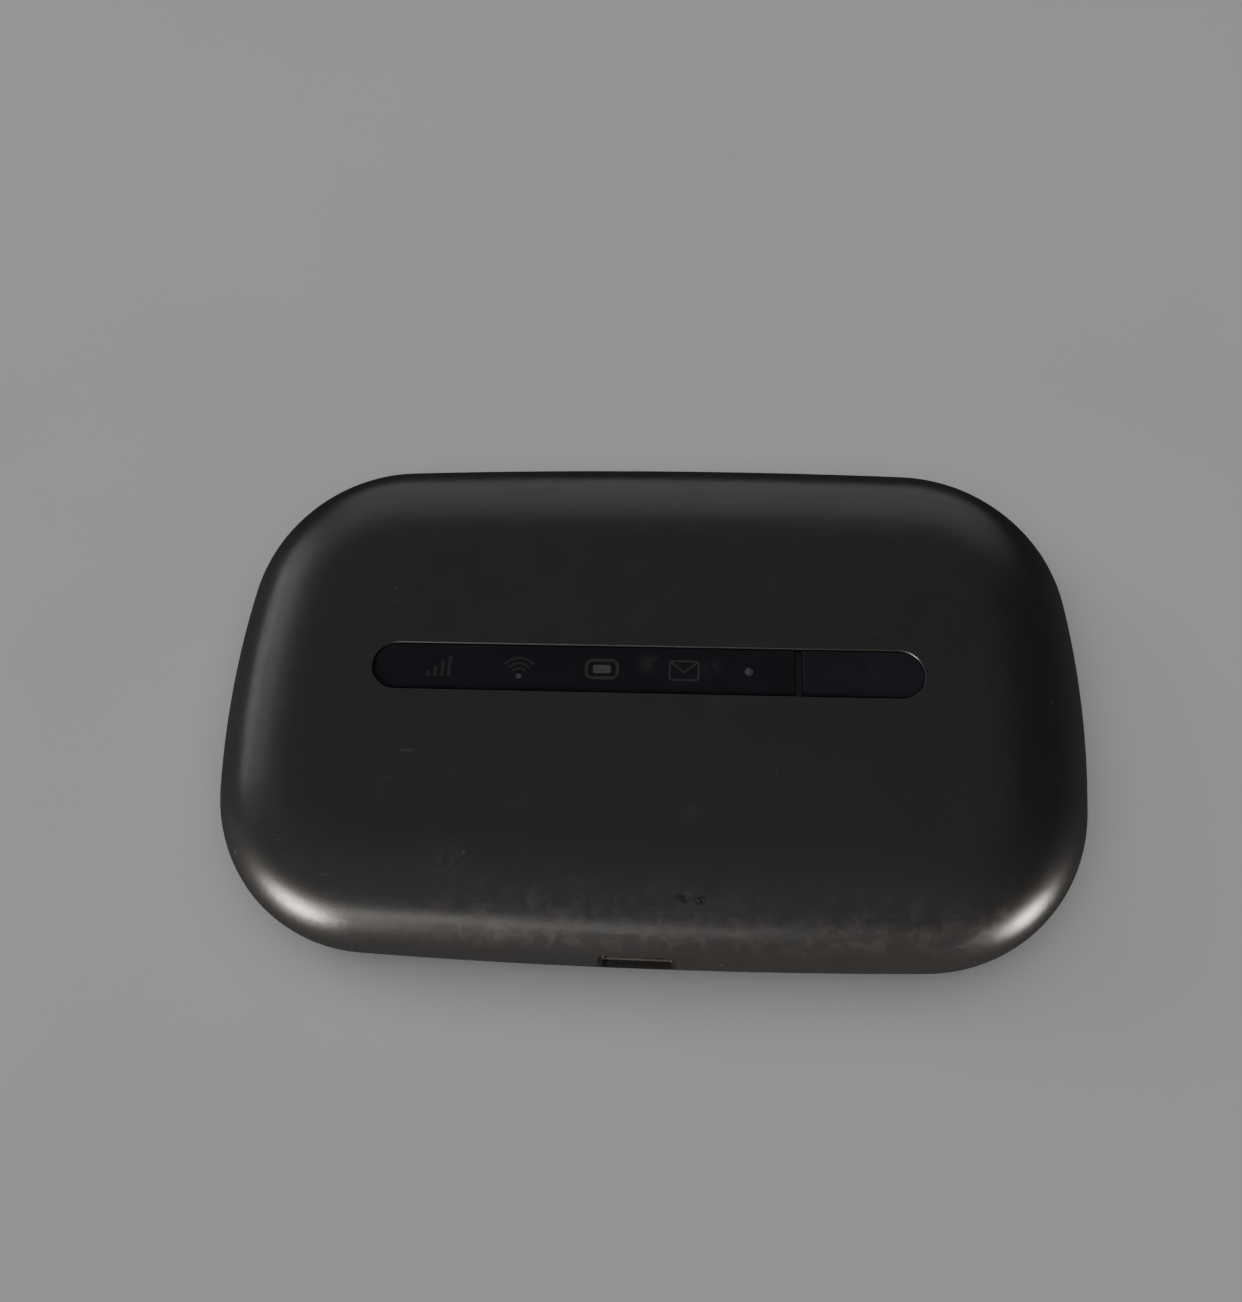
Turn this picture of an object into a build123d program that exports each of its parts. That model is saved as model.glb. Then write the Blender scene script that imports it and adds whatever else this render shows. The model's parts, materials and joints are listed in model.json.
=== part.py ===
from build123d import *
import os
from math import atan2, pi, tan

os.makedirs("parts", exist_ok=True)

# A pocket mobile hotspot: a router for mobile data with its own battery. Millimetres.
# The origin is the middle of the underside. +X runs along the length towards the power button,
# +Y away from the charging port, and +Z up out of the front face.

# ---------------------------------------------------------------- casing
length = 96.8
width = 58.0
height = 12.8
end_bow = 4.3  # how far each end bulges over the full width
side_bow = 1.45  # how far each long side bulges over the full length
corner_radius = 18.7
base_radius = 5.2  # rounding round the underside
side_band = 0.3  # upright band where the body is widest
shoulder_run = 8.2  # gentle slope between the side rounding and the flat front
shoulder_drop = 2.4
shoulder_radius = 22.0
wall = 1.2
seam_height = 4.2  # where the battery cover meets the front cover
seam_gap = 0.1
tongue_height = 0.5
tongue_thickness = 0.5
tongue_gap = 0.06
notch_length = 9.0  # fingernail notch in the battery cover
notch_height = 0.8
notch_depth = 0.7
hook_x = 19.0
hook_length = 4.0
hook_thickness = 0.6
hook_bottom = 2.6
hook_top = 5.9
hook_play = 0.2
hook_margin = 6.0
rib_end_room = 8.4  # from each end of the casing in to the rib's middle
rib_length = 20.0
rib_thickness = 0.9
rib_gap = 0.1

# ---------------------------------------------------------------- strip on the front
strip_length = 61.0
strip_height = 5.4
strip_y = 1.15
strip_recess = 0.12
strip_edge = 0.1
strip_gap = 0.08  # play round the window and the button
button_length = 13.2
bridge = 0.7  # sunk bar of the front cover between the window and the button
bridge_drop = 0.45
window_thickness = 0.6
window_edge = 0.06
adhesive_thickness = 0.1
film_thickness = 0.12
ledge_width = 0.8
ledge_thickness = 0.9
ledge_rim = 1.1
shroud_play = 0.2
shroud_reach = 3.0
light_gap = 0.1
light_well_length = 4.2
light_well_width = 2.2
led_length = 1.6
led_width = 0.9
led_height = 0.6

# ---------------------------------------------------------------- icons on the window, left to right
bars_x = -22.95
waves_x = -13.95
charge_x = -4.7
message_x = 4.4
dot_x = 11.5
icon_depth = 0.12
icon_height = 2.4
icon_line = 0.24
bar_count = 4
bar_pitch = 0.78
bar_width = 0.4
bar_lowest = 0.6
bar_rise = 0.6
wave_count = 3
wave_first = 0.3
wave_pitch = 0.6
wave_line = 0.26
wave_half_angle = 50
wave_dot = 0.62
wave_drop = 1.0
charge_length = 3.8
charge_corner = 0.9
charge_line = 0.36
charge_fill = 2.0
charge_fill_height = 0.95
message_length = 3.4
message_corner = 0.45
message_flap = 1.15
lamp_diameter = 0.9

# ---------------------------------------------------------------- buttons and switches
button_travel = 0.3
button_gap = 0.08
flange_thickness = 0.6
flange_width = 0.45
switch_case = 3.2
switch_height = 1.2
power_switch_height = 0.85
switch_stem = 1.5
stem_play = 0.05
reset_end_room = 8.2  # from the end of the casing in to the button's middle
reset_y = 4.0
reset_diameter = 2.0
reset_travel = 0.25
reset_recess = 0.2

# ---------------------------------------------------------------- battery and its bay
battery_end_room = 15.4  # from each end of the casing in to the battery
battery_side_room = 6.0  # from each long side of the casing in to the battery
battery_thickness = 4.4
battery_corner = 2.0
battery_edge = 0.5
battery_y = 0.5
battery_play = 0.25
end_cap_length = 3.0
pad_thickness = 0.3
pad_end_room = 11.0
pad_side_room = 10.0
pad_corner = 1.5
pad_gap = 0.1
label_thickness = 0.1
label_margin = 1.2
bay_wall = 0.8
bay_floor = 0.7
bay_label_end_room = 3.0
bay_label_side_room = 5.0
bay_label_gap = 4.7  # to the SIM socket

# ---------------------------------------------------------------- chassis, board and screws
chassis_gap = 0.15
chassis_wall = 1.2
chassis_plate = 0.9
chassis_back = 2.4  # height of its rear face over the underside
board_thickness = 0.8
board_margin = 2.4  # from the widest outline in to the board's edge
board_left_room = 5.8  # from the left end of the casing in to the board
board_right_room = 8.0
support_inset = 6.05  # from the outside of the bay in to a support's middle
support_diameter = 3.0
screw_end_room = 10.4
screw_side_room = 16.0
screw_shaft = 1.4
screw_head = 2.6
screw_head_height = 0.8
screw_slot_length = 1.7
screw_slot_width = 0.35
screw_length = 4.6
boss_diameter = 3.6
post_diameter = 5.2
well_diameter = 3.2
well_floor = 1.6
thread_clearance = 0.02
screw_clearance = 0.15
tip_room = 0.2
moisture_mark_diameter = 3.0

# ---------------------------------------------------------------- connectors on the back of the board
usb_width = 7.5
usb_height = 2.55
usb_sheet = 0.25
usb_corner = 0.75
usb_recess = 0.7  # from the casing's widest outline in to the socket's mouth
usb_port_gap = 0.3
usb_port_corner = 0.8
usb_tongue_width = 5.0
usb_tongue_thickness = 0.6
usb_tongue_drop = 0.45
usb_tongue_recess = 0.6
usb_back_block = 1.0
usb_contact_count = 5
usb_contact_pitch = 0.65
usb_contact_width = 0.35
usb_contact_thickness = 0.08
sim_end_room = 5.7  # from the battery's end in to the socket
sim_y = -3.0
sim_length = 26.6
sim_width = 17.0
sim_height = 1.45
sim_sheet = 0.2
sim_back_gap = 0.15
sim_slot_width = 11.0
sim_slot_length = 12.0
sim_rows = 2
sim_columns = 3
sim_pitch_x = 2.54
sim_pitch_y = 7.0
sim_contact_length = 2.0
sim_contact_width = 1.2
contact_pitch = 2.2
contact_room = 8.0  # from the near screws to the contacts' middle
contact_width = 1.0
contact_count = 4
contact_sheet = 0.2
contact_gap = 0.04
terminal_height = 2.4
terminal_margin = 0.3
terminal_thickness = 0.3
connector_depth = 2.6
connector_margin = 1.2

# ---------------------------------------------------------------- parts on the front of the board
can_left_room = 14.9  # from the left end of the casing in to the first can
can_right_room = 16.4
can_gap = 3.5
processor_can_share = 0.42  # of the lower row
lower_room = 17.5  # from the near long side in to the middle of the lower row
lower_width = 16.0
power_x = 8.0
power_can_length = 24.0
upper_room = 16.5
upper_width = 12.0
wifi_chip_x = -16.0
amplifier_count = 3
amplifier_pitch = 4.6
amplifier_size = 3.0
inductor_count = 2
inductor_pitch = 5.0
inductor_size = 4.0
capacitor_columns = 5
capacitor_rows = 2
capacitor_pitch = 1.8
capacitor_length = 1.0
can_height = 1.6
can_sheet = 0.2
can_corner = 0.6
chip_thickness = 0.9
processor_size = 11.0
memory_length = 8.0
memory_width = 10.5
radio_chip_size = 7.0
power_chip_size = 6.0
wifi_chip_size = 5.0
crystal_length = 3.2
crystal_width = 2.5
crystal_gap = 1.9  # to the wifi chip
capacitor_shift = 3.0  # of the capacitors' middle from the wifi chip's
capacitor_rise = 6.0
passive_height = 0.5
inductor_height = 1.4
thermal_gap = 0.1
carrier_gap = 0.3
carrier_width = 28.0
carrier_height = 3.4
antenna_gap = 0.12
clip_length = 1.4
clip_width = 1.0
clip_sheet = 0.15
clip_height = 1.3
wifi_antenna_length = 16.0
wifi_antenna_width = 2.2
wifi_antenna_height = 1.2
wifi_antenna_room = 7.5
wifi_leg = 0.8
antenna_margin = 0.5
antenna_slot = 0.8
antenna_strip = 0.9
antenna_edge = 3.1  # from the widest outline in to the foil's outer edge
main_slots = 5
second_slots = 4

# ---------------------------------------------------------------- worked out from the sizes above
FAR = 2 * length  # longer than anything here
equator = base_radius + side_band
slope = atan2(shoulder_drop, shoulder_run)
side_radius = (height - equator - shoulder_drop) / tan((pi / 2 - slope) / 2)
end_arc = ((width / 2) ** 2 + end_bow**2) / (2 * end_bow)
side_arc = ((length / 2) ** 2 + side_bow**2) / (2 * side_bow)
seam_top = seam_height + seam_gap / 2
seam_bottom = seam_height - seam_gap / 2

battery_length = length - 2 * battery_end_room
battery_width = width - 2 * battery_side_room
pad_length = battery_length - 2 * pad_end_room
pad_width = battery_width - 2 * pad_side_room
rib_x = length / 2 - rib_end_room
screw_x = length / 2 - screw_end_room
screw_y = width / 2 - screw_side_room
board_left = length / 2 - board_left_room
board_right = length / 2 - board_right_room
reset_x = reset_end_room - length / 2
lower_y = lower_room - width / 2
upper_y = width / 2 - upper_room
wifi_antenna_y = width / 2 - wifi_antenna_room
sim_x = battery_length / 2 - sim_end_room - sim_length / 2
contact_y = contact_room - screw_y
lower_row = length - can_left_room - can_right_room - can_gap
processor_can_length = lower_row * processor_can_share
radio_can_length = lower_row - processor_can_length
processor_x = can_left_room + processor_can_length / 2 - length / 2
radio_x = length / 2 - can_right_room - radio_can_length / 2
bay_label_left = bay_label_end_room - battery_length / 2
bay_label_right = sim_x - sim_length / 2 - bay_label_gap

battery_back = wall + pad_thickness + pad_gap + label_thickness
battery_front = battery_back + battery_thickness
bay_back = battery_front + battery_play + label_thickness
bay_front = bay_back + bay_floor
board_back = bay_back + sim_height + sim_back_gap
board_front = board_back + board_thickness
chassis_inset = wall + chassis_gap
cover_inside = height - wall
can_top = board_front + can_height
well_top = board_back - well_floor
screw_tip = well_top + screw_length
screw_places = [(x, y) for x in (-screw_x, screw_x) for y in (-screw_y, screw_y)]

window_top = height - strip_recess
bridge_top = window_top - bridge_drop
window_back = window_top - window_thickness
ledge_top = window_back - adhesive_thickness
ledge_back = ledge_top - ledge_thickness
strip_right = strip_length / 2
button_left = strip_right - button_length
window_right = button_left - bridge
button_x = (button_left + strip_right) / 2
icon_places = (bars_x, waves_x, charge_x, message_x, dot_x)

bay_side = battery_width / 2 + battery_play + bay_wall
bay_end = battery_length / 2 + battery_play + bay_wall
support_x = bay_end - support_inset
support_y = bay_side - support_inset
contact_z = (battery_back + battery_front) / 2
contact_places = [contact_y + (i - (contact_count - 1) / 2) * contact_pitch for i in range(contact_count)]
usb_z = board_back - usb_height / 2
usb_mouth = -width / 2 + usb_recess
usb_back = battery_y - bay_side - battery_play
usb_depth = usb_back - usb_mouth
port_width = usb_width + 2 * usb_port_gap
port_height = usb_height + 2 * usb_port_gap


def plan(inset):
    """The outline from the front, moved in by inset: four shallow arcs with round corners."""
    with BuildSketch() as outline:
        Rectangle(FAR, FAR)
        for y in (side_arc - width / 2, width / 2 - side_arc):
            with Locations((0, y)):
                Circle(side_arc - inset, mode=Mode.INTERSECT)
        for x in (end_arc - length / 2, length / 2 - end_arc):
            with Locations((x, 0)):
                Circle(end_arc - inset, mode=Mode.INTERSECT)
        fillet(outline.vertices(), corner_radius - inset)
    return outline.sketch


def pebble(inset):
    """The whole body as one solid, every face moved in by inset."""
    footprint = plan(inset)
    run = shoulder_run - inset * (1 - tan(slope / 2))
    drop = run * tan(slope)
    edge = height - inset - drop
    with BuildPart() as body:
        with BuildSketch(Plane.XY.offset(inset)):
            add(footprint)
        extrude(amount=height - 2 * inset)
        top = body.faces().sort_by(Axis.Z)[-1]
        chamfer(top.edges(), length=run, length2=drop, reference=top)
        fillet(body.edges().filter_by_position(Axis.Z, edge - 0.01, edge + 0.01), side_radius - inset)
        fillet(body.faces().sort_by(Axis.Z)[-1].edges(), shoulder_radius - inset)
        fillet(body.faces().sort_by(Axis.Z)[0].edges(), base_radius - inset)
    return body.part


def pill(grow, left, right):
    """The strip's outline made larger by grow all round and kept between left and right."""
    with BuildSketch() as outline:
        with Locations((0, strip_y)):
            SlotOverall(strip_length + 2 * grow, strip_height + 2 * grow)
        with Locations(((left + right) / 2, strip_y)):
            Rectangle(right - left, FAR, mode=Mode.INTERSECT)
    return outline.sketch


def block(x, y, z, size_x, size_y, size_z):
    """An upright block whose underside's middle is at x, y, z."""
    with BuildPart() as solid:
        with BuildSketch(Plane.XY.offset(z)):
            with Locations((x, y)):
                Rectangle(size_x, size_y)
        extrude(amount=size_z)
    return solid.part


def slab(body, bottom, top):
    """What lies of a body between two heights."""
    with BuildPart() as piece:
        add(body)
        split(bisect_by=Plane.XY.offset(bottom), keep=Keep.TOP)
        split(bisect_by=Plane.XY.offset(top), keep=Keep.BOTTOM)
    return piece.part


def shielding_can(x, y, size_x, size_y):
    """A pressed can, open towards the board that it stands on."""
    with BuildPart() as can:
        with BuildSketch(Plane.XY.offset(board_front)):
            with Locations((x, y)):
                RectangleRounded(size_x, size_y, can_corner)
        extrude(amount=can_height)
        fillet(can.faces().sort_by(Axis.Z)[-1].edges(), can_corner / 2)
        with BuildSketch(Plane.XY.offset(board_front)):
            with Locations((x, y)):
                RectangleRounded(size_x - 2 * can_sheet, size_y - 2 * can_sheet, can_corner - can_sheet)
        extrude(amount=can_height - can_sheet, mode=Mode.SUBTRACT)
    return can.part


def hook_places(size, bottom, top):
    """Blocks that mark where the cover's hooks stand: two on each long side and one on each end."""
    with BuildPart() as places:
        with BuildSketch(Plane.XY.offset(bottom)):
            with Locations((-hook_x, 0), (hook_x, 0)):
                Rectangle(size, FAR)
            Rectangle(FAR, size)
            Rectangle(length - 2 * hook_margin, width - 2 * hook_margin, mode=Mode.SUBTRACT)
        extrude(amount=top - bottom)
    return places.part


outer_body = pebble(0)
inner_body = pebble(wall)
chassis_body = pebble(chassis_inset)

# ================================================================ front cover
groove_top = seam_height + tongue_height + tongue_gap
groove_body = slab(pebble(wall - tongue_thickness - tongue_gap), 0, groove_top)
rim_outline = pill(ledge_rim, -FAR, FAR)
strip_outline = pill(0, -FAR, FAR)
window_hole = pill(0, -FAR, window_right)
light_hole = pill(-ledge_width, -FAR, window_right - ledge_width)
button_hole = pill(0, button_left, FAR)
bridge_outline = pill(0, window_right, button_left)
with BuildPart() as front_cover:
    add(outer_body)
    add(inner_body, mode=Mode.SUBTRACT)
    split(bisect_by=Plane.XY.offset(seam_top), keep=Keep.TOP)
    # groove that takes the battery cover's tongue
    add(groove_body, mode=Mode.SUBTRACT)
    # thick rim behind the strip, fused a little way into the front wall
    with BuildSketch(Plane.XY.offset(ledge_back)):
        add(rim_outline)
    extrude(amount=cover_inside - ledge_back + wall / 2)
    # strip recess, window seat with its light slot, and the button's hole
    with BuildSketch(Plane.XY.offset(window_top)):
        add(strip_outline)
    extrude(amount=strip_recess, mode=Mode.SUBTRACT)
    with BuildSketch(Plane.XY.offset(ledge_top)):
        add(window_hole)
    extrude(amount=height - ledge_top, mode=Mode.SUBTRACT)
    with BuildSketch(Plane.XY.offset(bridge_top)):
        add(bridge_outline)
    extrude(amount=height - bridge_top, mode=Mode.SUBTRACT)
    with BuildSketch(Plane.XY.offset(ledge_back)):
        add(light_hole)
        add(button_hole)
    extrude(amount=height - ledge_back, mode=Mode.SUBTRACT)
    # broken edge round the strip
    front_edges = front_cover.edges().filter_by_position(Axis.Z, height - 0.001, height + 0.001)
    strip_edges = front_edges.filter_by(
        lambda edge: abs(edge.center().Y - strip_y) < strip_height and abs(edge.center().X) < strip_length
    )
    chamfer(strip_edges, strip_edge)
    # screw bosses
    with BuildSketch(Plane.XY.offset(board_front)):
        with Locations(*screw_places):
            Circle(boss_diameter / 2)
    extrude(amount=cover_inside - board_front + wall / 2)
    with BuildSketch(Plane.XY.offset(board_front)):
        with Locations(*screw_places):
            Circle(screw_shaft / 2 + thread_clearance)
    extrude(amount=screw_tip - board_front + tip_room, mode=Mode.SUBTRACT)
    # charging port
    with BuildSketch(Plane.XZ.offset(-usb_back)):
        with Locations((0, usb_z)):
            RectangleRounded(port_width, port_height, usb_port_corner)
    extrude(amount=FAR, mode=Mode.SUBTRACT)
front_cover.part.label = "front_cover"
export_step(front_cover.part, "parts/front_cover.step")

# ================================================================ strip: window, icons and their light
window_outline = pill(-strip_gap, -FAR, window_right - strip_gap)
film_outline = pill(-ledge_width - strip_gap, -FAR, window_right - ledge_width - strip_gap)
shroud_outline = pill(-ledge_width - shroud_play, bars_x - shroud_reach, dot_x + shroud_reach)

# the five indicators: rising bars, radio waves, charge, message and a round lamp
with BuildSketch() as icons:
    for step in range(bar_count):
        bar_height = bar_lowest + step * bar_rise
        with Locations((bars_x + (step - (bar_count - 1) / 2) * bar_pitch, strip_y - icon_height / 2)):
            Rectangle(bar_width, bar_height, align=(Align.CENTER, Align.MIN))
    with Locations((waves_x, strip_y - wave_drop)):
        Circle(wave_dot / 2)
    for ring in range(1, wave_count + 1):
        with BuildSketch(mode=Mode.PRIVATE) as arc:
            with Locations((waves_x, strip_y - wave_drop)):
                Circle(ring * wave_pitch + wave_line / 2 + wave_first)
                Circle(ring * wave_pitch - wave_line / 2 + wave_first, mode=Mode.SUBTRACT)
                Triangle(a=FAR / 2, B=90 - wave_half_angle, C=90 - wave_half_angle, rotation=180,
                         align=(Align.CENTER, Align.MAX), mode=Mode.INTERSECT)
        add(arc.sketch)
    with Locations((charge_x, strip_y)):
        RectangleRounded(charge_length, icon_height, charge_corner)
        RectangleRounded(
            charge_length - 2 * charge_line, icon_height - 2 * charge_line, charge_corner - charge_line,
            mode=Mode.SUBTRACT,
        )
        RectangleRounded(charge_fill, charge_fill_height, charge_fill_height / 4)
    with Locations((message_x, strip_y)):
        RectangleRounded(message_length, icon_height, message_corner)
        RectangleRounded(
            message_length - 2 * icon_line, icon_height - 2 * icon_line, message_corner - icon_line,
            mode=Mode.SUBTRACT,
        )
    with BuildLine():
        flap_x = message_length / 2 - icon_line
        flap_y = strip_y + icon_height / 2 - icon_line
        Polyline(
            (message_x - flap_x, flap_y), (message_x, flap_y - message_flap), (message_x + flap_x, flap_y)
        )
    trace(line_width=icon_line)
    with Locations((dot_x, strip_y)):
        Circle(lamp_diameter / 2)

with BuildPart() as display_window:
    with BuildSketch(Plane.XY.offset(window_back)):
        add(window_outline)
    extrude(amount=window_thickness)
    chamfer(display_window.faces().sort_by(Axis.Z)[-1].edges(), window_edge)
    with BuildSketch(Plane.XY.offset(window_top - icon_depth)):
        add(icons.sketch)
    extrude(amount=icon_depth, mode=Mode.SUBTRACT)
display_window.part.label = "display_window"
export_step(display_window.part, "parts/display_window.step")

with BuildPart() as window_icons:
    with BuildSketch(Plane.XY.offset(window_top - icon_depth)):
        add(icons.sketch)
    extrude(amount=icon_depth)
window_icons.part.label = "window_icons"
export_step(window_icons.part, "parts/window_icons.step")

with BuildPart() as window_adhesive:
    with BuildSketch(Plane.XY.offset(ledge_top)):
        add(window_outline)
        add(light_hole, mode=Mode.SUBTRACT)
    extrude(amount=adhesive_thickness)
window_adhesive.part.label = "window_adhesive"
export_step(window_adhesive.part, "parts/window_adhesive.step")

with BuildPart() as light_film:
    with BuildSketch(Plane.XY.offset(window_back - film_thickness)):
        add(film_outline)
    extrude(amount=film_thickness)
light_film.part.label = "light_film"
export_step(light_film.part, "parts/light_film.step")

with BuildPart() as light_shroud:
    with BuildSketch(Plane.XY.offset(board_front)):
        add(shroud_outline)
        with Locations(*[(x, strip_y) for x in icon_places]):
            Rectangle(light_well_length, light_well_width, mode=Mode.SUBTRACT)
    extrude(amount=window_back - film_thickness - light_gap - board_front)
light_shroud.part.label = "light_shroud"
export_step(light_shroud.part, "parts/light_shroud.step")

with BuildPart() as indicator_leds:
    with BuildSketch(Plane.XY.offset(board_front)):
        with Locations(*[(x, strip_y) for x in icon_places]):
            Rectangle(led_length, led_width)
    extrude(amount=led_height)
indicator_leds.part.label = "indicator_leds"
export_step(indicator_leds.part, "parts/indicator_leds.step")

# ================================================================ power button and its switch
cap_outline = pill(-strip_gap, button_left + strip_gap, FAR)
flange_outline = pill(flange_width, button_left - flange_width, FAR)
flange_top = ledge_back - button_gap
flange_back = flange_top - flange_thickness
power_reach = button_travel + stem_play
power_stem_top = board_front + power_switch_height + power_reach
with BuildPart() as power_button:
    with BuildSketch(Plane.XY.offset(flange_back)):
        add(flange_outline)
    extrude(amount=flange_thickness)
    with BuildSketch(Plane.XY.offset(flange_top)):
        add(cap_outline)
    extrude(amount=window_top - flange_top)
    chamfer(power_button.faces().sort_by(Axis.Z)[-1].edges(), window_edge)
    with BuildSketch(Plane.XY.offset(power_stem_top + stem_play)):
        with Locations((button_x, strip_y)):
            Circle(switch_stem)
    extrude(amount=flange_back - power_stem_top - stem_play)
power_button.part.label = "power_button"
export_step(power_button.part, "parts/power_button.step")

with BuildPart() as power_switch:
    with BuildSketch(Plane.XY.offset(board_front)):
        with Locations((button_x, strip_y)):
            Rectangle(switch_case, switch_case)
            Circle(switch_stem / 2 + stem_play, mode=Mode.SUBTRACT)
    extrude(amount=power_switch_height)
power_switch.part.label = "power_switch"
export_step(power_switch.part, "parts/power_switch.step")

with BuildPart() as power_switch_stem:
    with BuildSketch(Plane.XY.offset(board_front + power_reach)):
        with Locations((button_x, strip_y)):
            Circle(switch_stem / 2)
    extrude(amount=power_switch_height)
power_switch_stem.part.label = "power_switch_stem"
export_step(power_switch_stem.part, "parts/power_switch_stem.step")

# ================================================================ battery cover and its foam pad
tongue_top = seam_height + tongue_height
tongue_body = slab(pebble(wall - tongue_thickness), seam_bottom - tongue_height, tongue_top)
hook_inner = wall + hook_thickness
hook_shape = pebble(hook_inner)
hook_root = slab(pebble(wall / 2), hook_bottom, seam_bottom)
hook_tip = slab(pebble(wall + tongue_gap), hook_bottom, hook_top)
hook_boxes = hook_places(hook_length, hook_bottom, hook_top)
with BuildPart() as cover_hooks:
    add(hook_root)
    add(hook_tip)
    add(hook_shape, mode=Mode.SUBTRACT)
    add(hook_boxes, mode=Mode.INTERSECT)
with BuildPart() as battery_cover:
    add(outer_body)
    split(bisect_by=Plane.XY.offset(seam_bottom), keep=Keep.BOTTOM)
    add(tongue_body)
    add(inner_body, mode=Mode.SUBTRACT)
    add(cover_hooks.part)
    # ribs that hold the floor off the chassis
    with BuildSketch(Plane.XY.offset(wall / 2)):
        with Locations((-rib_x, 0), (rib_x, 0)):
            Rectangle(rib_thickness, rib_length)
    extrude(amount=chassis_back - rib_gap - wall / 2)
    # fingernail notch in the rim at the back
    with BuildSketch(Plane.XY.offset(seam_bottom - notch_height)):
        with Locations((0, width / 2)):
            Rectangle(notch_length, 2 * notch_depth)
    extrude(amount=notch_height, mode=Mode.SUBTRACT)
battery_cover.part.label = "battery_cover"
export_step(battery_cover.part, "parts/battery_cover.step")

with BuildPart() as cover_pad:
    with BuildSketch(Plane.XY.offset(wall)):
        with Locations((0, battery_y)):
            RectangleRounded(pad_length, pad_width, pad_corner)
    extrude(amount=pad_thickness)
cover_pad.part.label = "cover_pad"
export_step(cover_pad.part, "parts/cover_pad.step")

# ================================================================ battery
cap_x = -battery_length / 2 + end_cap_length
with BuildPart() as battery_shape:
    with BuildSketch(Plane.XY.offset(battery_back)):
        with Locations((0, battery_y)):
            RectangleRounded(battery_length, battery_width, battery_corner)
    extrude(amount=battery_thickness)
    fillet(battery_shape.faces().sort_by(Axis.Z)[0].edges(), battery_edge)
    fillet(battery_shape.faces().sort_by(Axis.Z)[-1].edges(), battery_edge)

with BuildPart() as battery_terminals:
    with BuildSketch(Plane.YZ.offset(-battery_length / 2)):
        with Locations(*[(y, contact_z) for y in contact_places]):
            Rectangle(contact_width + terminal_margin, terminal_height)
    extrude(amount=terminal_thickness)
battery_terminals.part.label = "battery_terminals"
export_step(battery_terminals.part, "parts/battery_terminals.step")

with BuildPart() as battery_cell:
    add(battery_shape.part)
    split(bisect_by=Plane.YZ.offset(cap_x), keep=Keep.TOP)
battery_cell.part.label = "battery_cell"
export_step(battery_cell.part, "parts/battery_cell.step")

with BuildPart() as battery_end_cap:
    add(battery_shape.part)
    split(bisect_by=Plane.YZ.offset(cap_x), keep=Keep.BOTTOM)
    add(battery_terminals.part, mode=Mode.SUBTRACT)
battery_end_cap.part.label = "battery_end_cap"
export_step(battery_end_cap.part, "parts/battery_end_cap.step")

with BuildPart() as battery_label:
    with BuildSketch(Plane.XY.offset(battery_back - label_thickness)):
        with Locations(((cap_x + battery_length / 2) / 2, battery_y)):
            RectangleRounded(
                battery_length / 2 - cap_x - 2 * label_margin,
                battery_width - 2 * label_margin,
                battery_corner,
            )
    extrude(amount=label_thickness)
battery_label.part.label = "battery_label"
export_step(battery_label.part, "parts/battery_label.step")

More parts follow.
